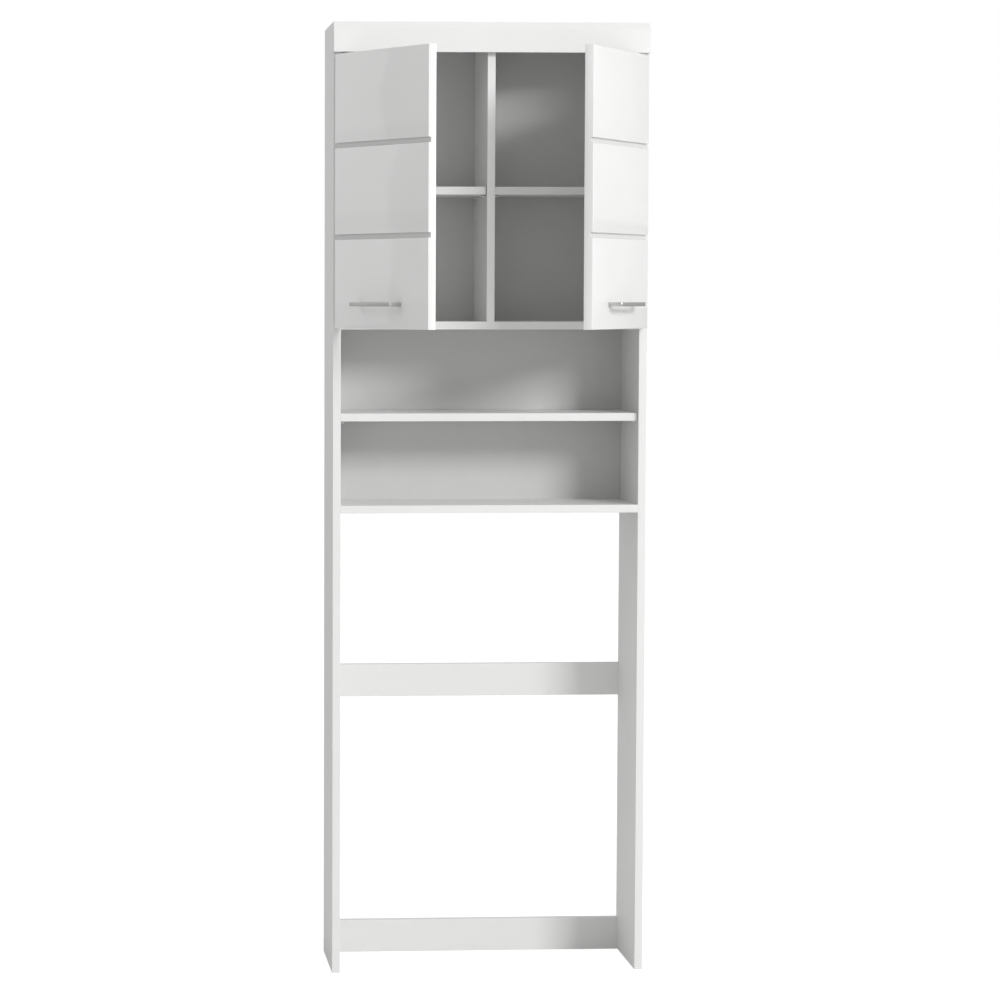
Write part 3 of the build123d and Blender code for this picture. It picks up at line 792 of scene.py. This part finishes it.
def solids(node: str, turn: Matrix = Matrix.Identity(4)) -> list[Span]:
    """The separate solids of a CAD node.

    Args:
        node: the node's name.
        turn: a matrix that the node is turned by before it is measured.

    Returns:
        The span of each solid.
    """
    mesh = bmesh.new()
    mesh.from_mesh(frame["nodes"][node].data)
    bmesh.ops.remove_doubles(mesh, verts=mesh.verts[:], dist=1e-6)
    mesh.transform(turn)
    spans, left = [], set(mesh.verts)
    while left:
        reached, ahead = set(), [left.pop()]
        while ahead:
            vert = ahead.pop()
            reached.add(vert)
            for edge in vert.link_edges:
                other = edge.other_vert(vert)
                if other in left:
                    left.remove(other)
                    ahead.append(other)
        places = [v.co for v in reached]
        low = Vector(min(p[i] for p in places) for i in range(3))
        high = Vector(max(p[i] for p in places) for i in range(3))
        spans.append(Span(low, high))
    mesh.free()
    return sorted(spans, key=lambda span: tuple(round(c, 4) for c in span.middle))


@dataclass(frozen=True)
class Swing:
    """The upright axis that a door turns about, and how far the door stands open."""

    pivot: Vector
    angle: float

    @classmethod
    def of(cls, joint: str) -> "Swing":
        """Reads the axis and the opening from the frame's joint, whose lower limit is shut."""
        found = next(j for j in frame["joints"] if j["name"] == joint)
        return cls(Vector(found["pos_m"]), radians(-found["range_deg"][0]))

    @property
    def opened(self) -> Matrix:
        """Turns a shut door open."""
        there = Matrix.Translation(self.pivot)
        return there @ Matrix.Rotation(self.angle, 4, "Z") @ there.inverted()

    @property
    def shut(self) -> Matrix:
        """Turns the open door shut."""
        return self.opened.inverted()


def dress(node: str, finish: bpy.types.Material) -> None:
    """Gives a CAD node its finish."""
    piece = frame["nodes"][node]
    if not piece.material_slots:
        piece.data.materials.append(finish)
    for slot in piece.material_slots:
        slot.material = finish
    log.info("%s keeps its shape and wears %s", node, finish.name)


def shift(x: float, y: float, z: float) -> Matrix:
    """Moves a piece."""
    return Matrix.Translation((x, y, z))


def deliver(work: Work, node: str, body: str, finish: bpy.types.Material) -> None:
    """Sets a finished piece in the cabinet, in place of its CAD node.

    Args:
        work: the finished piece.
        node: the CAD node that it stands for.
        body: the body that it moves with.
        finish: its material.
    """
    piece = work.piece
    piece.data.materials.clear()
    piece.data.materials.append(finish)
    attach(piece, body)
    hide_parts(node)
    log.info("%s stands for %s on %s, %d faces", piece.name, node, body, len(piece.data.polygons))


def deliver_pair(
    work: Work, name: str, node: str, body: str, finish: bpy.types.Material
) -> None:
    """Sets a right-hand piece and its mirror image in the cabinet.

    Args:
        work: the finished right-hand piece.
        name: what both pieces are called, before their side.
        node: the CAD nodes that they stand for, before their side.
        body: the bodies that they move with, before their side, or root for both.
        finish: their material.
    """
    work.piece.name = f"{name}_right"
    left = work.mirrored(f"{name}_left")
    for item, side in ((work, "right"), (left, "left")):
        rides = body if body == "root" else f"{body}_{side}"
        deliver(item, f"{node}_{side}", rides, finish)


# ---- doors and what is on them ---------------------------------------------------------------


@dataclass
class Doors:
    """The two moulded fronts, with their handles, bumpers, hinge cups and screws."""

    swing: Swing
    groove_width: float = 10.8 * MM
    groove_floor: float = 9.6 * MM
    groove_depth: float = 5.6 * MM
    rim: float = 1.3 * MM
    rear_rim: float = 0.4 * MM
    crease: float = 0.5 * MM
    cup_radius: float = 17.4 * MM
    cup_play: float = 0.1 * MM
    cup_wall: float = 1.2 * MM
    cup_depth: float = 12.6 * MM
    flange_radius: float = 18.8 * MM
    flange_thick: float = 1.0 * MM
    ear_radius: float = 6.0 * MM
    foot: float = 10.0 * MM
    strap: float = 4.0 * MM
    arch: float = 3.0 * MM
    corner: float = 6.0 * MM
    rings: int = 12
    dome_foot: float = 0.35
    dome_turns: tuple[int, ...] = (20, 40, 58, 74)

    @staticmethod
    def groove_middles(span: Span) -> tuple[float, ...]:
        """The heights of the two grooves, at the thirds of a shut door."""
        return tuple(span.low.z + span.size.z * third / 3 for third in (1, 2))

    def panel(self) -> Work:
        """Shapes the right-hand front: grooves across it, rounded rims and bores for the cups."""
        span = solids("door_right", self.swing.shut)[0]
        face, rear = span.low.y, span.high.y
        sides, ends = (span.low.x, span.high.x), (span.low.z, span.high.z)
        work = Work.block("door", span.low, span.high)
        middles = self.groove_middles(span)
        for middle in middles:
            for half in (self.groove_width / 2, self.groove_floor / 2):
                for way in (-1, 1):
                    work.slice(UP * (middle + way * half), UP)
        reach = self.groove_floor / 2 + 0.1 * MM
        for middle in middles:
            work.slide(
                lambda at, facing: near(at.y, face) and abs(at.z - middle) < reach,
                Vector((0, self.groove_depth, 0)),
            )
        lips = [m + way * self.groove_width / 2 for m in middles for way in (-1, 1)]
        floors = [m + way * self.groove_floor / 2 for m in middles for way in (-1, 1)]
        sunk = face + self.groove_depth
        work.bevel(
            lambda at, way: along(way, 0)
            and (
                (near(at.y, face) and near_any(at.z, lips))
                or (near(at.y, sunk) and near_any(at.z, floors))
            ),
            self.crease,
            3,
        )
        for cup in solids("hinge_cups_right", self.swing.shut):
            bore = Work.rod("bore", self.cup_radius + self.cup_play, -self.cup_depth, 5 * MM, 64)
            bore.moved(self.facing_back(cup.middle.x, rear, cup.middle.z))
            work.combine(bore, "DIFFERENCE")
        for level, width, segments in ((face, self.rim, 3), (rear, self.rear_rim, 2)):
            work.bevel(
                lambda at, way: near(at.y, level)
                and (
                    (along(way, 2) and near_any(at.x, sides))
                    or (along(way, 0) and near_any(at.z, ends))
                ),
                width,
                segments,
            )
        return work.smooth().moved(self.swing.opened)

    @staticmethod
    def facing_back(x: float, y: float, z: float) -> Matrix:
        """Stands a fitting that was modelled along +Z on the back of a shut door."""
        return shift(x, y, z) @ Matrix.Rotation(-pi / 2, 4, "X")

    def handle(self) -> Work:
        """Shapes the right-hand bow handle: a gently arched strap on two feet."""
        span = solids("handle_right", self.swing.shut)[0]
        low, high = span.low, span.high
        front = low.y + self.arch
        rear = front + self.strap
        work = Work.block("handle", Vector((low.x, front, low.z)), Vector((high.x, rear, high.z)))
        outer = (low.x, high.x)
        inner = (low.x + self.foot, high.x - self.foot)
        for x in inner:
            work.slice(ACROSS * x, ACROSS)
        work.extrude(
            lambda at, facing: facing.y > FACING and not inner[0] < at.x < inner[1],
            Vector((0, high.y - rear, 0)),
        )
        for level, places, radius, segments in (
            (front, outer, self.corner, 6),
            (rear, inner, self.corner / 2, 4),
        ):
            work.bevel(
                lambda at, way: along(way, 2) and near(at.y, level) and near_any(at.x, places),
                radius,
                segments,
            )
        half = span.size.x / 2
        clear = self.foot + self.corner / 2 + 0.5 * MM
        step = 2 * (half - clear) / self.rings
        rings = [low.x + clear + step * ring for ring in range(self.rings + 1)]
        for x in rings:
            work.slice(ACROSS * x, ACROSS)
        for x in rings:
            share = (x - span.middle.x) / half
            rise = Vector((0, -self.arch * (1 - share * share), 0))
            work.slide(lambda at, facing: near(at.x, x), rise)
        return work.soften(0.8 * MM, 3, 40.0).moved(self.swing.opened)

    def cups(self) -> Work:
        """Shapes the right-hand hinge cups: a drawn cup in a flange with two screw ears."""
        spans = solids("hinge_cups_right", self.swing.shut)
        ears = solids("cup_screws_right", self.swing.shut)
        rear = solids("door_right", self.swing.shut)[0].high.y
        ear_x = ears[0].middle.x - spans[0].middle.x
        ear_z = abs(ears[0].middle.z - spans[0].middle.z)
        thick, ear = self.flange_thick, self.ear_radius
        flange = Work.rod("cup", self.flange_radius, 0, thick, 64)
        reach = ear_z + ear
        low = Vector((ear_x - ear, -reach, 0))
        plate = Work.block("ears", low, Vector((ear_x + ear, reach, thick)))
        plate.bevel(lambda at, way: along(way, 2), ear * 0.98, 8)
        flange.combine(plate, "UNION")
        hole = Work.rod("hole", self.cup_radius - self.cup_wall, -5 * MM, 5 * MM, 64)
        flange.combine(hole, "DIFFERENCE").soften(0.25 * MM, 2, 50.0)
        brim = thick * 0.6
        shell = Work.rod("shell", self.cup_radius - self.cup_play / 2, -self.cup_depth, brim, 64)
        shell.inset(upward, self.cup_wall * 1.4, self.cup_wall - self.cup_depth - brim)
        shell.soften(0.5 * MM, 2, 60.0)
        flange.combine(shell, "UNION").smooth()
        places = [self.facing_back(s.middle.x, rear, s.middle.z) for s in spans]
        return flange.gathered("cups", places).moved(self.swing.opened)

    def bumpers(self) -> Work:
        """Shapes the right-hand bumpers: small clear domes."""
        spans = solids("door_bumpers_right", self.swing.shut)
        radius, tall = spans[0].size.x / 2, spans[0].size.y
        foot = tall * self.dome_foot
        work = Work.rod("bumper", radius, 0, foot, 32)
        level, crown = foot, sin(radians(self.dome_turns[-1]))
        for turn in self.dome_turns:
            rise = foot + (tall - foot) * sin(radians(turn)) / crown
            shrink = cos(radians(turn)) / cos(radians(max(turn - 20, 0)))
            work.extrude(
                lambda at, facing: upward(at, facing) and near(at.z, level),
                UP * (rise - level),
                (shrink, shrink, 1),
            )
            level = rise
        work.smooth(60.0)
        places = [self.facing_back(s.middle.x, s.low.y, s.middle.z) for s in spans]
        return work.gathered("bumpers", places).moved(self.swing.opened)

    def build(self, finishes: "Finishes") -> None:
        """Builds both doors with all that they carry."""
        leaf = "door_leaf"
        for work, name, node, finish, slot in (
            (self.panel(), "door_front", "door", finishes.door, "door_gloss"),
            (self.handle(), "bow_handle", "handle", finishes.handle, "satin_metal"),
            (self.cups(), "cup_with_flange", "hinge_cups", finishes.nickel, "nickel"),
            (self.bumpers(), "soft_bumpers", "door_bumpers", finishes.clear, "clear_bumper"),
        ):
            deliver_pair(work, name, node, leaf, finish)
        for node, name in (("cup_screws", "cup_ear_screws"), ("handle_screws", "handle_bolts")):
            spans = solids(f"{node}_right", self.swing.shut)
            places = [self.facing_back(s.middle.x, s.high.y, s.middle.z) for s in spans]
            screws = Screw.like(spans[0], 1).build().gathered(name, places)
            deliver_pair(screws.moved(self.swing.opened), name, node, leaf, finishes.zinc)


# ---- screws ----------------------------------------------------------------------------------


@dataclass
class Screw:
    """A pan-head screw with a cross recess, its head's top at the origin and its shank below."""

    head_radius: float
    length: float
    shank_radius: float
    head: float = 1.8 * MM
    recess: float = 0.9 * MM
    rim: float = 0.55
    crown: tuple[tuple[float, float], ...] = ((0.30, 0.86), (0.15, 0.72))
    cross: tuple[float, float] = (0.56, 0.14)

    @classmethod
    def like(cls, span: Span, axis: int) -> "Screw":
        """Reads a screw's size from its CAD solid, which lies along an axis."""
        width = min(span.size[i] for i in range(3) if i != axis)
        return cls(width / 2, span.size[axis], width * 0.27)

    def build(self) -> Work:
        """Shapes the screw: a domed head, a cross recess and a shank."""
        radius = self.head_radius
        work = Work.rod("screw", radius, -self.head, -self.head * (1 - self.rim), 24)
        for rise, shrink in self.crown:
            work.extrude(upward, UP * self.head * rise, (shrink, shrink, 1))
        share = self.shank_radius / radius
        work.extrude(lambda at, facing: facing.z < -FACING, Vector(), (share, share, 1))
        work.extrude(
            lambda at, facing: facing.z < -FACING and on_axis(at), UP * (self.head - self.length)
        )
        long, wide = self.cross
        work.cross(radius * long, radius * wide, self.recess)
        return work.smooth(40.0)


# ---- hinges on the carcass -------------------------------------------------------------------


@dataclass
class HingeMounts:
    """The hinge arms, their plates and screws on the side panels."""

    body_length: float = 56.0 * MM
    body_depth: float = 12.0 * MM
    neck_tall: float = 10.0 * MM
    eye: float = 2.6 * MM
    slot_tall: float = 6.0 * MM
    pin_radius: float = 1.45 * MM
    stamp: float = 2.4 * MM
    neck_steps: int = 3
    plate_step: float = 2.0 * MM
    plate_half: float = 10.0 * MM
    plate_corner: float = 5.0 * MM
    rail_half: float = 7.0 * MM
    rail_foot: float = 1.0 * MM
    adjuster_head: float = 0.9

    def arms(self) -> Work:
        """Shapes the right-hand arms: a stamped channel with a neck that is forked for the link."""
        spans = solids("hinge_arms_right")
        pins = solids("hinge_pins_right")
        first, pin = spans[0], pins[0].middle
        mid = first.middle.z
        tall = first.size.z / 2
        low = Vector((first.high.x - self.body_depth, first.high.y - self.body_length, mid - tall))
        high = Vector((first.high.x, first.high.y, mid + tall))
        work = Work.block("arm", low, high)
        front_y = low.y
        neck = self.neck_tall / (2 * tall)
        steps = self.neck_steps
        forward = (pin.y - front_y) / steps
        inward = (pin.x - (low.x + high.x) / 2) / steps
        widths = [
            self.body_depth * (1 - step / steps) + 2 * self.eye * step / steps
            for step in range(steps + 1)
        ]
        for step in range(steps):
            level = front_y + forward * step
            work.extrude(
                lambda at, facing: facing.y < -0.7 and near(at.y, level, 0.4 * MM),
                Vector((inward, forward, 0)),
                (widths[step + 1] / widths[step], 1, 1 if step else neck),
            )
        work.extrude(
            lambda at, facing: facing.y < -0.7 and near(at.y, pin.y, 0.4 * MM),
            Vector((0, -self.eye, 0)),
        )
        tip = pin.y - self.eye
        work.bevel(
            lambda at, way: along(way, 2) and near(at.y, tip, 0.3 * MM), self.eye * 0.95, 6
        )
        work.inset(
            lambda at, facing: facing.x < -0.95 and at.y > front_y, self.stamp, -self.stamp * 0.35
        )
        work.soften(0.7 * MM, 2, 50.0)
        eye = Vector((pin.x, pin.y, mid))
        reach = Vector((4 * self.eye, 2 * self.eye, self.slot_tall / 2))
        work.combine(Work.block("fork", eye - reach, eye + reach), "DIFFERENCE")
        hole = Work.rod("hole", self.pin_radius, -THROUGH, THROUGH, 32)
        work.combine(hole.moved(Matrix.Translation(eye)), "DIFFERENCE").smooth()
        lifts = [shift(0, 0, s.middle.z - mid) for s in spans]
        return work.gathered("arms", lifts)

    def plates(self) -> Work:
        """Shapes the right-hand mounting plates: a rounded cross plate with a raised rail."""
        spans = solids("hinge_plates_right")
        low, high, middle = spans[0].low, spans[0].high, spans[0].middle
        foot = low.x + self.plate_step
        base = Work.block(
            "plate",
            Vector((foot, middle.y - self.plate_half, low.z)),
            Vector((high.x, middle.y + self.plate_half, high.z)),
        )
        base.bevel(lambda at, way: along(way, 0), self.plate_corner, 6)
        rail = Work.block(
            "rail",
            Vector((low.x, low.y, middle.z - self.rail_half)),
            Vector((foot + self.rail_foot, high.y, middle.z + self.rail_half)),
        )
        rail.bevel(lambda at, way: along(way, 0), self.plate_step, 4)
        base.combine(rail, "UNION").soften(0.4 * MM, 2, 50.0)
        lifts = [shift(0, 0, s.middle.z - middle.z) for s in spans]
        return base.gathered("plates", lifts)

    def build(self, finishes: "Finishes") -> None:
        """Builds the arms, plates and screws of both sides."""
        nickel = finishes.nickel
        deliver_pair(self.arms(), "hinge_arm_channels", "hinge_arms", "root", nickel)
        deliver_pair(self.plates(), "mounting_plates", "hinge_plates", "root", nickel)
        inward = Matrix.Rotation(-pi / 2, 4, "Y")
        named = (("plate_screws", "plate_wood_screws"), ("adjuster_screws", "adjuster_heads"))
        for node, name in named:
            spans = solids(f"{node}_right")
            screw = Screw.like(spans[0], 0)
            if node == "adjuster_screws":
                screw.head = screw.length * self.adjuster_head
            places = [shift(s.low.x, s.middle.y, s.middle.z) @ inward for s in spans]
            work = screw.build().gathered(name, places)
            deliver_pair(work, name, node, "root", finishes.zinc)
        for side in ("left", "right"):
            dress(f"hinge_links_{side}", finishes.nickel)
            dress(f"hinge_pins_{side}", finishes.zinc)


# ---- small fittings of the carcass -----------------------------------------------------------


@dataclass
class Fittings:
    """Shelf pins, cam locks, wall brackets and the screws that hold them."""

    collar: float = 0.9 * MM
    pin_in: float = 7.5 * MM
    bracket_thick: float = 2.0 * MM
    bracket_reach: float = 42.0 * MM
    wall_hole: float = 3.0 * MM
    wall_hole_drop: float = 15.0 * MM
    bracket_corner: float = 6.0 * MM
    peg: float = 0.628
    peg_dome: float = 0.6 * MM
    dome_share: float = 0.72
    cam_rim: float = 1.2 * MM
    cam_sink: float = 0.5 * MM
    cam_cross: tuple[float, float] = (0.52, 0.13)
    cam_cross_deep: float = 3.0 * MM
    bolt_bore: float = 3.3 * MM

    def pins(self) -> Work:
        """Shapes the shelf pins: a shank, a rounded collar and a domed peg."""
        spans = solids("shelf_pins")
        length, collar_radius = spans[0].size.x, spans[0].size.y / 2
        work = Work.rod("pin", collar_radius * self.peg, 0, self.pin_in, 24)
        grown, shrunk, dome = 1 / self.peg, self.peg, self.dome_share
        straight = length - self.pin_in - self.collar - self.peg_dome
        work.extrude(upward_end, Vector(), (grown, grown, 1))
        work.extrude(upward_end, UP * self.collar)
        work.extrude(upward_end, Vector(), (shrunk, shrunk, 1))
        work.extrude(upward_end, UP * straight)
        work.extrude(upward_end, UP * self.peg_dome, (dome, dome, 1))
        work.soften(0.25 * MM, 2, 50.0)
        places = []
        for span in spans:
            right = span.middle.x > 0
            on_divider = abs(span.middle.x) < 0.1
            toward = 1 if right == on_divider else -1
            start = span.low.x if toward > 0 else span.high.x
            turn = Matrix.Rotation(toward * pi / 2, 4, "Y")
            places.append(shift(start, span.middle.y, span.middle.z) @ turn)
        return work.gathered("pins", places)

    def cams(self) -> Work:
        """Shapes the cam locks: discs with a sunk face and a cross recess."""
        spans = solids("cam_locks")
        upright = [s for s in spans if s.size.z < s.size.x * 0.95]
        radius, tall = upright[0].size.x / 2, upright[0].size.z
        long, wide = self.cam_cross
        work = Work.rod("cam", radius, 0, tall, 40)
        work.inset(lambda at, facing: facing.z < -FACING, self.cam_rim, -self.cam_sink)
        work.cross(radius * long, radius * wide, self.cam_cross_deep)
        bore = Work.rod("bore", self.bolt_bore, -THROUGH, THROUGH, 24)
        bore.moved(shift(0, 0, tall / 2) @ Matrix.Rotation(pi / 2, 4, "Y"))
        work.combine(bore, "DIFFERENCE").soften(0.25 * MM, 2, 50.0)
        places = []
        for span in spans:
            middle = span.middle
            if span in upright:
                places.append(shift(middle.x, middle.y, span.low.z))
            else:
                turn = Matrix.Rotation(pi / 2, 4, "X")
                places.append(shift(middle.x, span.high.y, middle.z) @ turn)
        return work.gathered("cams", places)

    def brackets(self) -> Work:
        """Shapes the right-hand wall bracket: a bent steel angle with rounded corners."""
        span = solids("wall_bracket_right")[0]
        low, high, thick = span.low, span.high, self.bracket_thick
        work = Work.block("bracket", Vector((low.x, high.y - thick, low.z)), high.copy())
        work.slice(UP * (high.z - thick), UP)
        work.extrude(
            lambda at, facing: facing.y < -FACING and at.z > high.z - thick,
            Vector((0, thick - self.bracket_reach, 0)),
        )
        work.bevel(
            lambda at, way: (along(way, 2) and near(at.y, low.y))
            or (along(way, 1) and near(at.z, low.z)),
            self.bracket_corner,
            5,
        )
        work.bevel(
            lambda at, way: along(way, 0) and near(at.y, high.y) and near(at.z, high.z), thick, 4
        )
        work.soften(0.3 * MM, 2, 50.0)
        hole = Work.rod("hole", self.wall_hole, -THROUGH, THROUGH, 32)
        place = shift(span.middle.x, high.y, high.z - self.wall_hole_drop)
        work.combine(hole.moved(place @ Matrix.Rotation(pi / 2, 4, "X")), "DIFFERENCE")
        return work.smooth()

    def build(self, finishes: "Finishes") -> None:
        """Builds all the small fittings."""
        zinc = finishes.zinc
        pegs, discs = self.pins().named("shelf_pegs"), self.cams().named("cam_discs")
        deliver(pegs, "shelf_pins", "root", finishes.nickel)
        deliver(discs, "cam_locks", "root", finishes.cast)
        deliver_pair(self.brackets(), "wall_angle", "wall_bracket", "root", zinc)
        down = Matrix.Rotation(pi, 4, "X")
        named = (("bracket_screws", "bracket_wood_screws"), ("divider_screws", "divider_bolts"))
        for node, name in named:
            spans = solids(node)
            places = [shift(s.middle.x, s.middle.y, s.low.z) @ down for s in spans]
            work = Screw.like(spans[0], 2).build().gathered(name, places)
            deliver(work.named(name), node, "root", zinc)
        dress("cam_bolts", finishes.zinc)
        dress("wood_dowels", finishes.beech)


# ---- carcass ---------------------------------------------------------------------------------


@dataclass
class Carcass:
    """The boards, which keep their CAD shapes."""

    fixed: tuple[str, ...] = (
        "top_board",
        "cupboard_floor",
        "bottom_shelf",
        "divider",
        "lower_rail",
        "upper_rail",
    )
    loose: tuple[str, ...] = ("open_shelf", "cupboard_shelf_left", "cupboard_shelf_right")

    def build(self, finishes: "Finishes") -> None:
        """Dresses every board."""
        for side in ("left", "right"):
            dress(f"side_panel_{side}", finishes.side)
        for node in self.fixed:
            dress(node, finishes.board)
        for node in self.loose:
            dress(node, finishes.shelf)
        dress("back_panel", finishes.back)
        dress("crown_fascia", finishes.fascia)


# ---- finishes in use -------------------------------------------------------------------------


@dataclass
class Finishes:
    """Every material of the cabinet, made once."""

    swing: Swing
    side: bpy.types.Material = field(init=False)
    board: bpy.types.Material = field(init=False)
    shelf: bpy.types.Material = field(init=False)
    back: bpy.types.Material = field(init=False)
    fascia: bpy.types.Material = field(init=False)
    door: bpy.types.Material = field(init=False)
    handle: bpy.types.Material = field(init=False)
    nickel: bpy.types.Material = field(init=False)
    zinc: bpy.types.Material = field(init=False)
    cast: bpy.types.Material = field(init=False)
    beech: bpy.types.Material = field(init=False)
    clear: bpy.types.Material = field(init=False)

    def __post_init__(self) -> None:
        """Makes the materials, with the places of edges and faces read from the frame."""
        board_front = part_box("bottom_shelf")[0].y
        shelf_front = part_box("open_shelf")[0].y
        hair = 0.3 * MM
        side_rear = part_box("side_panel_left")[1].y - hair
        self.side = Melamine("melamine_sides", board_front, raw_rear=side_rear).make()
        self.board = Melamine("melamine_boards", board_front).make()
        self.shelf = Melamine("melamine_shelves", shelf_front).make()
        self.back = Hardboard("hardboard_back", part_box("back_panel")[1].y - hair).make()
        self.fascia = GlossFoil("gloss_fascia").make()
        door = solids("door_right", self.swing.shut)[0]
        pivot = self.swing.pivot
        face, rear = door.low.y - pivot.y, door.high.y - pivot.y
        self.door = GlossFoil(
            "gloss_doors",
            pivot=(pivot.x, pivot.y),
            angle=self.swing.angle,
            rear_face=rear - 0.5 * MM,
            grooves=Doors.groove_middles(door),
            groove_reach=(face + 0.6 * MM, face + 5.8 * MM),
        ).make()
        self.handle = BrushedMetal("satin_nickel").make()
        self.nickel = PlatedSteel(
            "nickel_plate", bright=(0.68, 0.665, 0.63), dull=(0.56, 0.545, 0.51), roughness=0.16
        ).make()
        self.zinc = PlatedSteel(
            "zinc_plate", bright=(0.64, 0.65, 0.665), dull=(0.50, 0.51, 0.53), roughness=0.24
        ).make()
        self.cast = CastZinc("die_cast_zinc").make()
        self.beech = BeechWood("beech").make()
        self.clear = SoftClear("clear_bumper").make()


# ---- studio ----------------------------------------------------------------------------------


@dataclass(frozen=True)
class Softbox:
    """A rectangular studio light that faces the cabinet.

    Its bearing is in degrees round the cabinet, 0 in front and positive to the right, and its
    rise is in degrees above the level of what it aims at.
    """

    name: str
    bearing: float
    rise: float
    distance: float
    width: float
    height: float
    power: float
    aim: tuple[float, float, float] = (0.0, -0.2, 1.2)

    def build(self) -> None:
        """Hangs the light and points it."""
        light = bpy.data.lights.new(self.name, "AREA")
        light.shape = "RECTANGLE"
        light.size, light.size_y = self.width, self.height
        light.energy = self.power
        turn, lift = radians(self.bearing), radians(self.rise)
        outward = Vector((sin(turn) * cos(lift), -cos(turn) * cos(lift), sin(lift)))
        lamp = bpy.data.objects.new(self.name, light)
        lamp.location = Vector(self.aim) + outward * self.distance
        lamp.rotation_euler = (-outward).to_track_quat("-Z", "Y").to_euler()
        bpy.context.scene.collection.objects.link(lamp)


@dataclass
class Studio:
    """The pale floor, the white surroundings, the soft lights and the camera."""

    camera_place: Vector = field(default_factory=lambda: Vector((-0.8362, -6.5072, 1.3867)))
    camera_turn: float = -0.0553
    camera_tilt: float = -0.0611
    lens: float = 112.19
    shift: tuple[float, float] = (0.25, -0.015)
    ambient: float = 0.6
    floor_size: float = 60.0
    floor_grey: float = 0.72
    floor_glow: float = 1.5
    floor_lift: float = 0.6
    lights: tuple[Softbox, ...] = (
        Softbox("key", 33.0, 23.0, 10.0, 3.1, 2.3, 525.0, (0.0, -0.2, 1.0)),
        Softbox("left_fill", -78.0, 30.0, 4.0, 1.6, 1.6, 9.0),
        Softbox("right_fill", 80.0, 15.0, 4.0, 1.5, 2.0, 18.0),
        Softbox("rear_left", -117.1, 0.0, 4.0, 1.0, 1.7, 1.6, (0.0, -0.2, 1.75)),
    )

    def floor(self) -> None:
        """Lays a plain pale floor, bright enough to run into the surroundings."""
        Work.clear()
        bpy.ops.mesh.primitive_plane_add(size=self.floor_size)
        floor = bpy.context.object
        floor.name = "studio_floor"
        graph = Graph("pale_floor")
        grey = (self.floor_grey, self.floor_grey, self.floor_grey, 1)
        matt = graph.node("ShaderNodeBsdfDiffuse", inputs={"Color": grey})
        white = {"Color": (1, 1, 1, 1), "Strength": self.floor_glow}
        glow = graph.node("ShaderNodeEmission", inputs=white)
        seen = graph.node("ShaderNodeLightPath").outputs["Is Camera Ray"]
        share = Signal(graph, seen) * self.floor_lift
        mixed = {0: share, 1: matt.outputs[0], 2: glow.outputs[0]}
        mix = graph.node("ShaderNodeMixShader", inputs=mixed)
        graph.node("ShaderNodeOutputMaterial", inputs={"Surface": mix.outputs[0]})
        floor.data.materials.append(graph.material)

    def surroundings(self) -> None:
        """Fills the room with even light, and shows it as white."""
        world = bpy.data.worlds.new("studio")
        world.use_nodes = True
        bpy.context.scene.world = world
        tree = world.node_tree
        tree.nodes.clear()
        paths = tree.nodes.new("ShaderNodeLightPath")
        glows = []
        for strength in (self.ambient, 1.0):
            glow = tree.nodes.new("ShaderNodeBackground")
            glow.inputs["Color"].default_value = (1, 1, 1, 1)
            glow.inputs["Strength"].default_value = strength
            glows.append(glow.outputs[0])
        mix = tree.nodes.new("ShaderNodeMixShader")
        out = tree.nodes.new("ShaderNodeOutputWorld")
        tree.links.new(paths.outputs["Is Camera Ray"], mix.inputs[0])
        tree.links.new(glows[0], mix.inputs[1])
        tree.links.new(glows[1], mix.inputs[2])
        tree.links.new(mix.outputs[0], out.inputs["Surface"])

    def camera(self) -> None:
        """Sets up the camera in front of the cabinet, a little to its left."""
        data = bpy.data.cameras.new("camera")
        data.lens = self.lens
        data.shift_x, data.shift_y = self.shift
        camera = bpy.data.objects.new("camera", data)
        camera.location = self.camera_place
        camera.rotation_euler = (pi / 2 + self.camera_tilt, 0, self.camera_turn)
        bpy.context.scene.collection.objects.link(camera)
        bpy.context.scene.camera = camera

    def build(self) -> None:
        """Sets up the whole studio."""
        self.floor()
        self.surroundings()
        self.camera()
        for light in self.lights:
            light.build()
        view = bpy.context.scene.view_settings
        view.view_transform = "Standard"
        view.look = "None"


def main() -> None:
    """Builds the cabinet's looks, one sub-assembly after another."""
    logging.basicConfig(level=logging.INFO, format="%(message)s")
    Studio().build()
    swing = Swing.of("door_hinge_right")
    finishes = Finishes(swing)
    for assembly in (Carcass(), Doors(swing), HingeMounts(), Fittings()):
        assembly.build(finishes)
        log.info("%s is done", type(assembly).__name__)


if __name__ == "__main__":
    main()
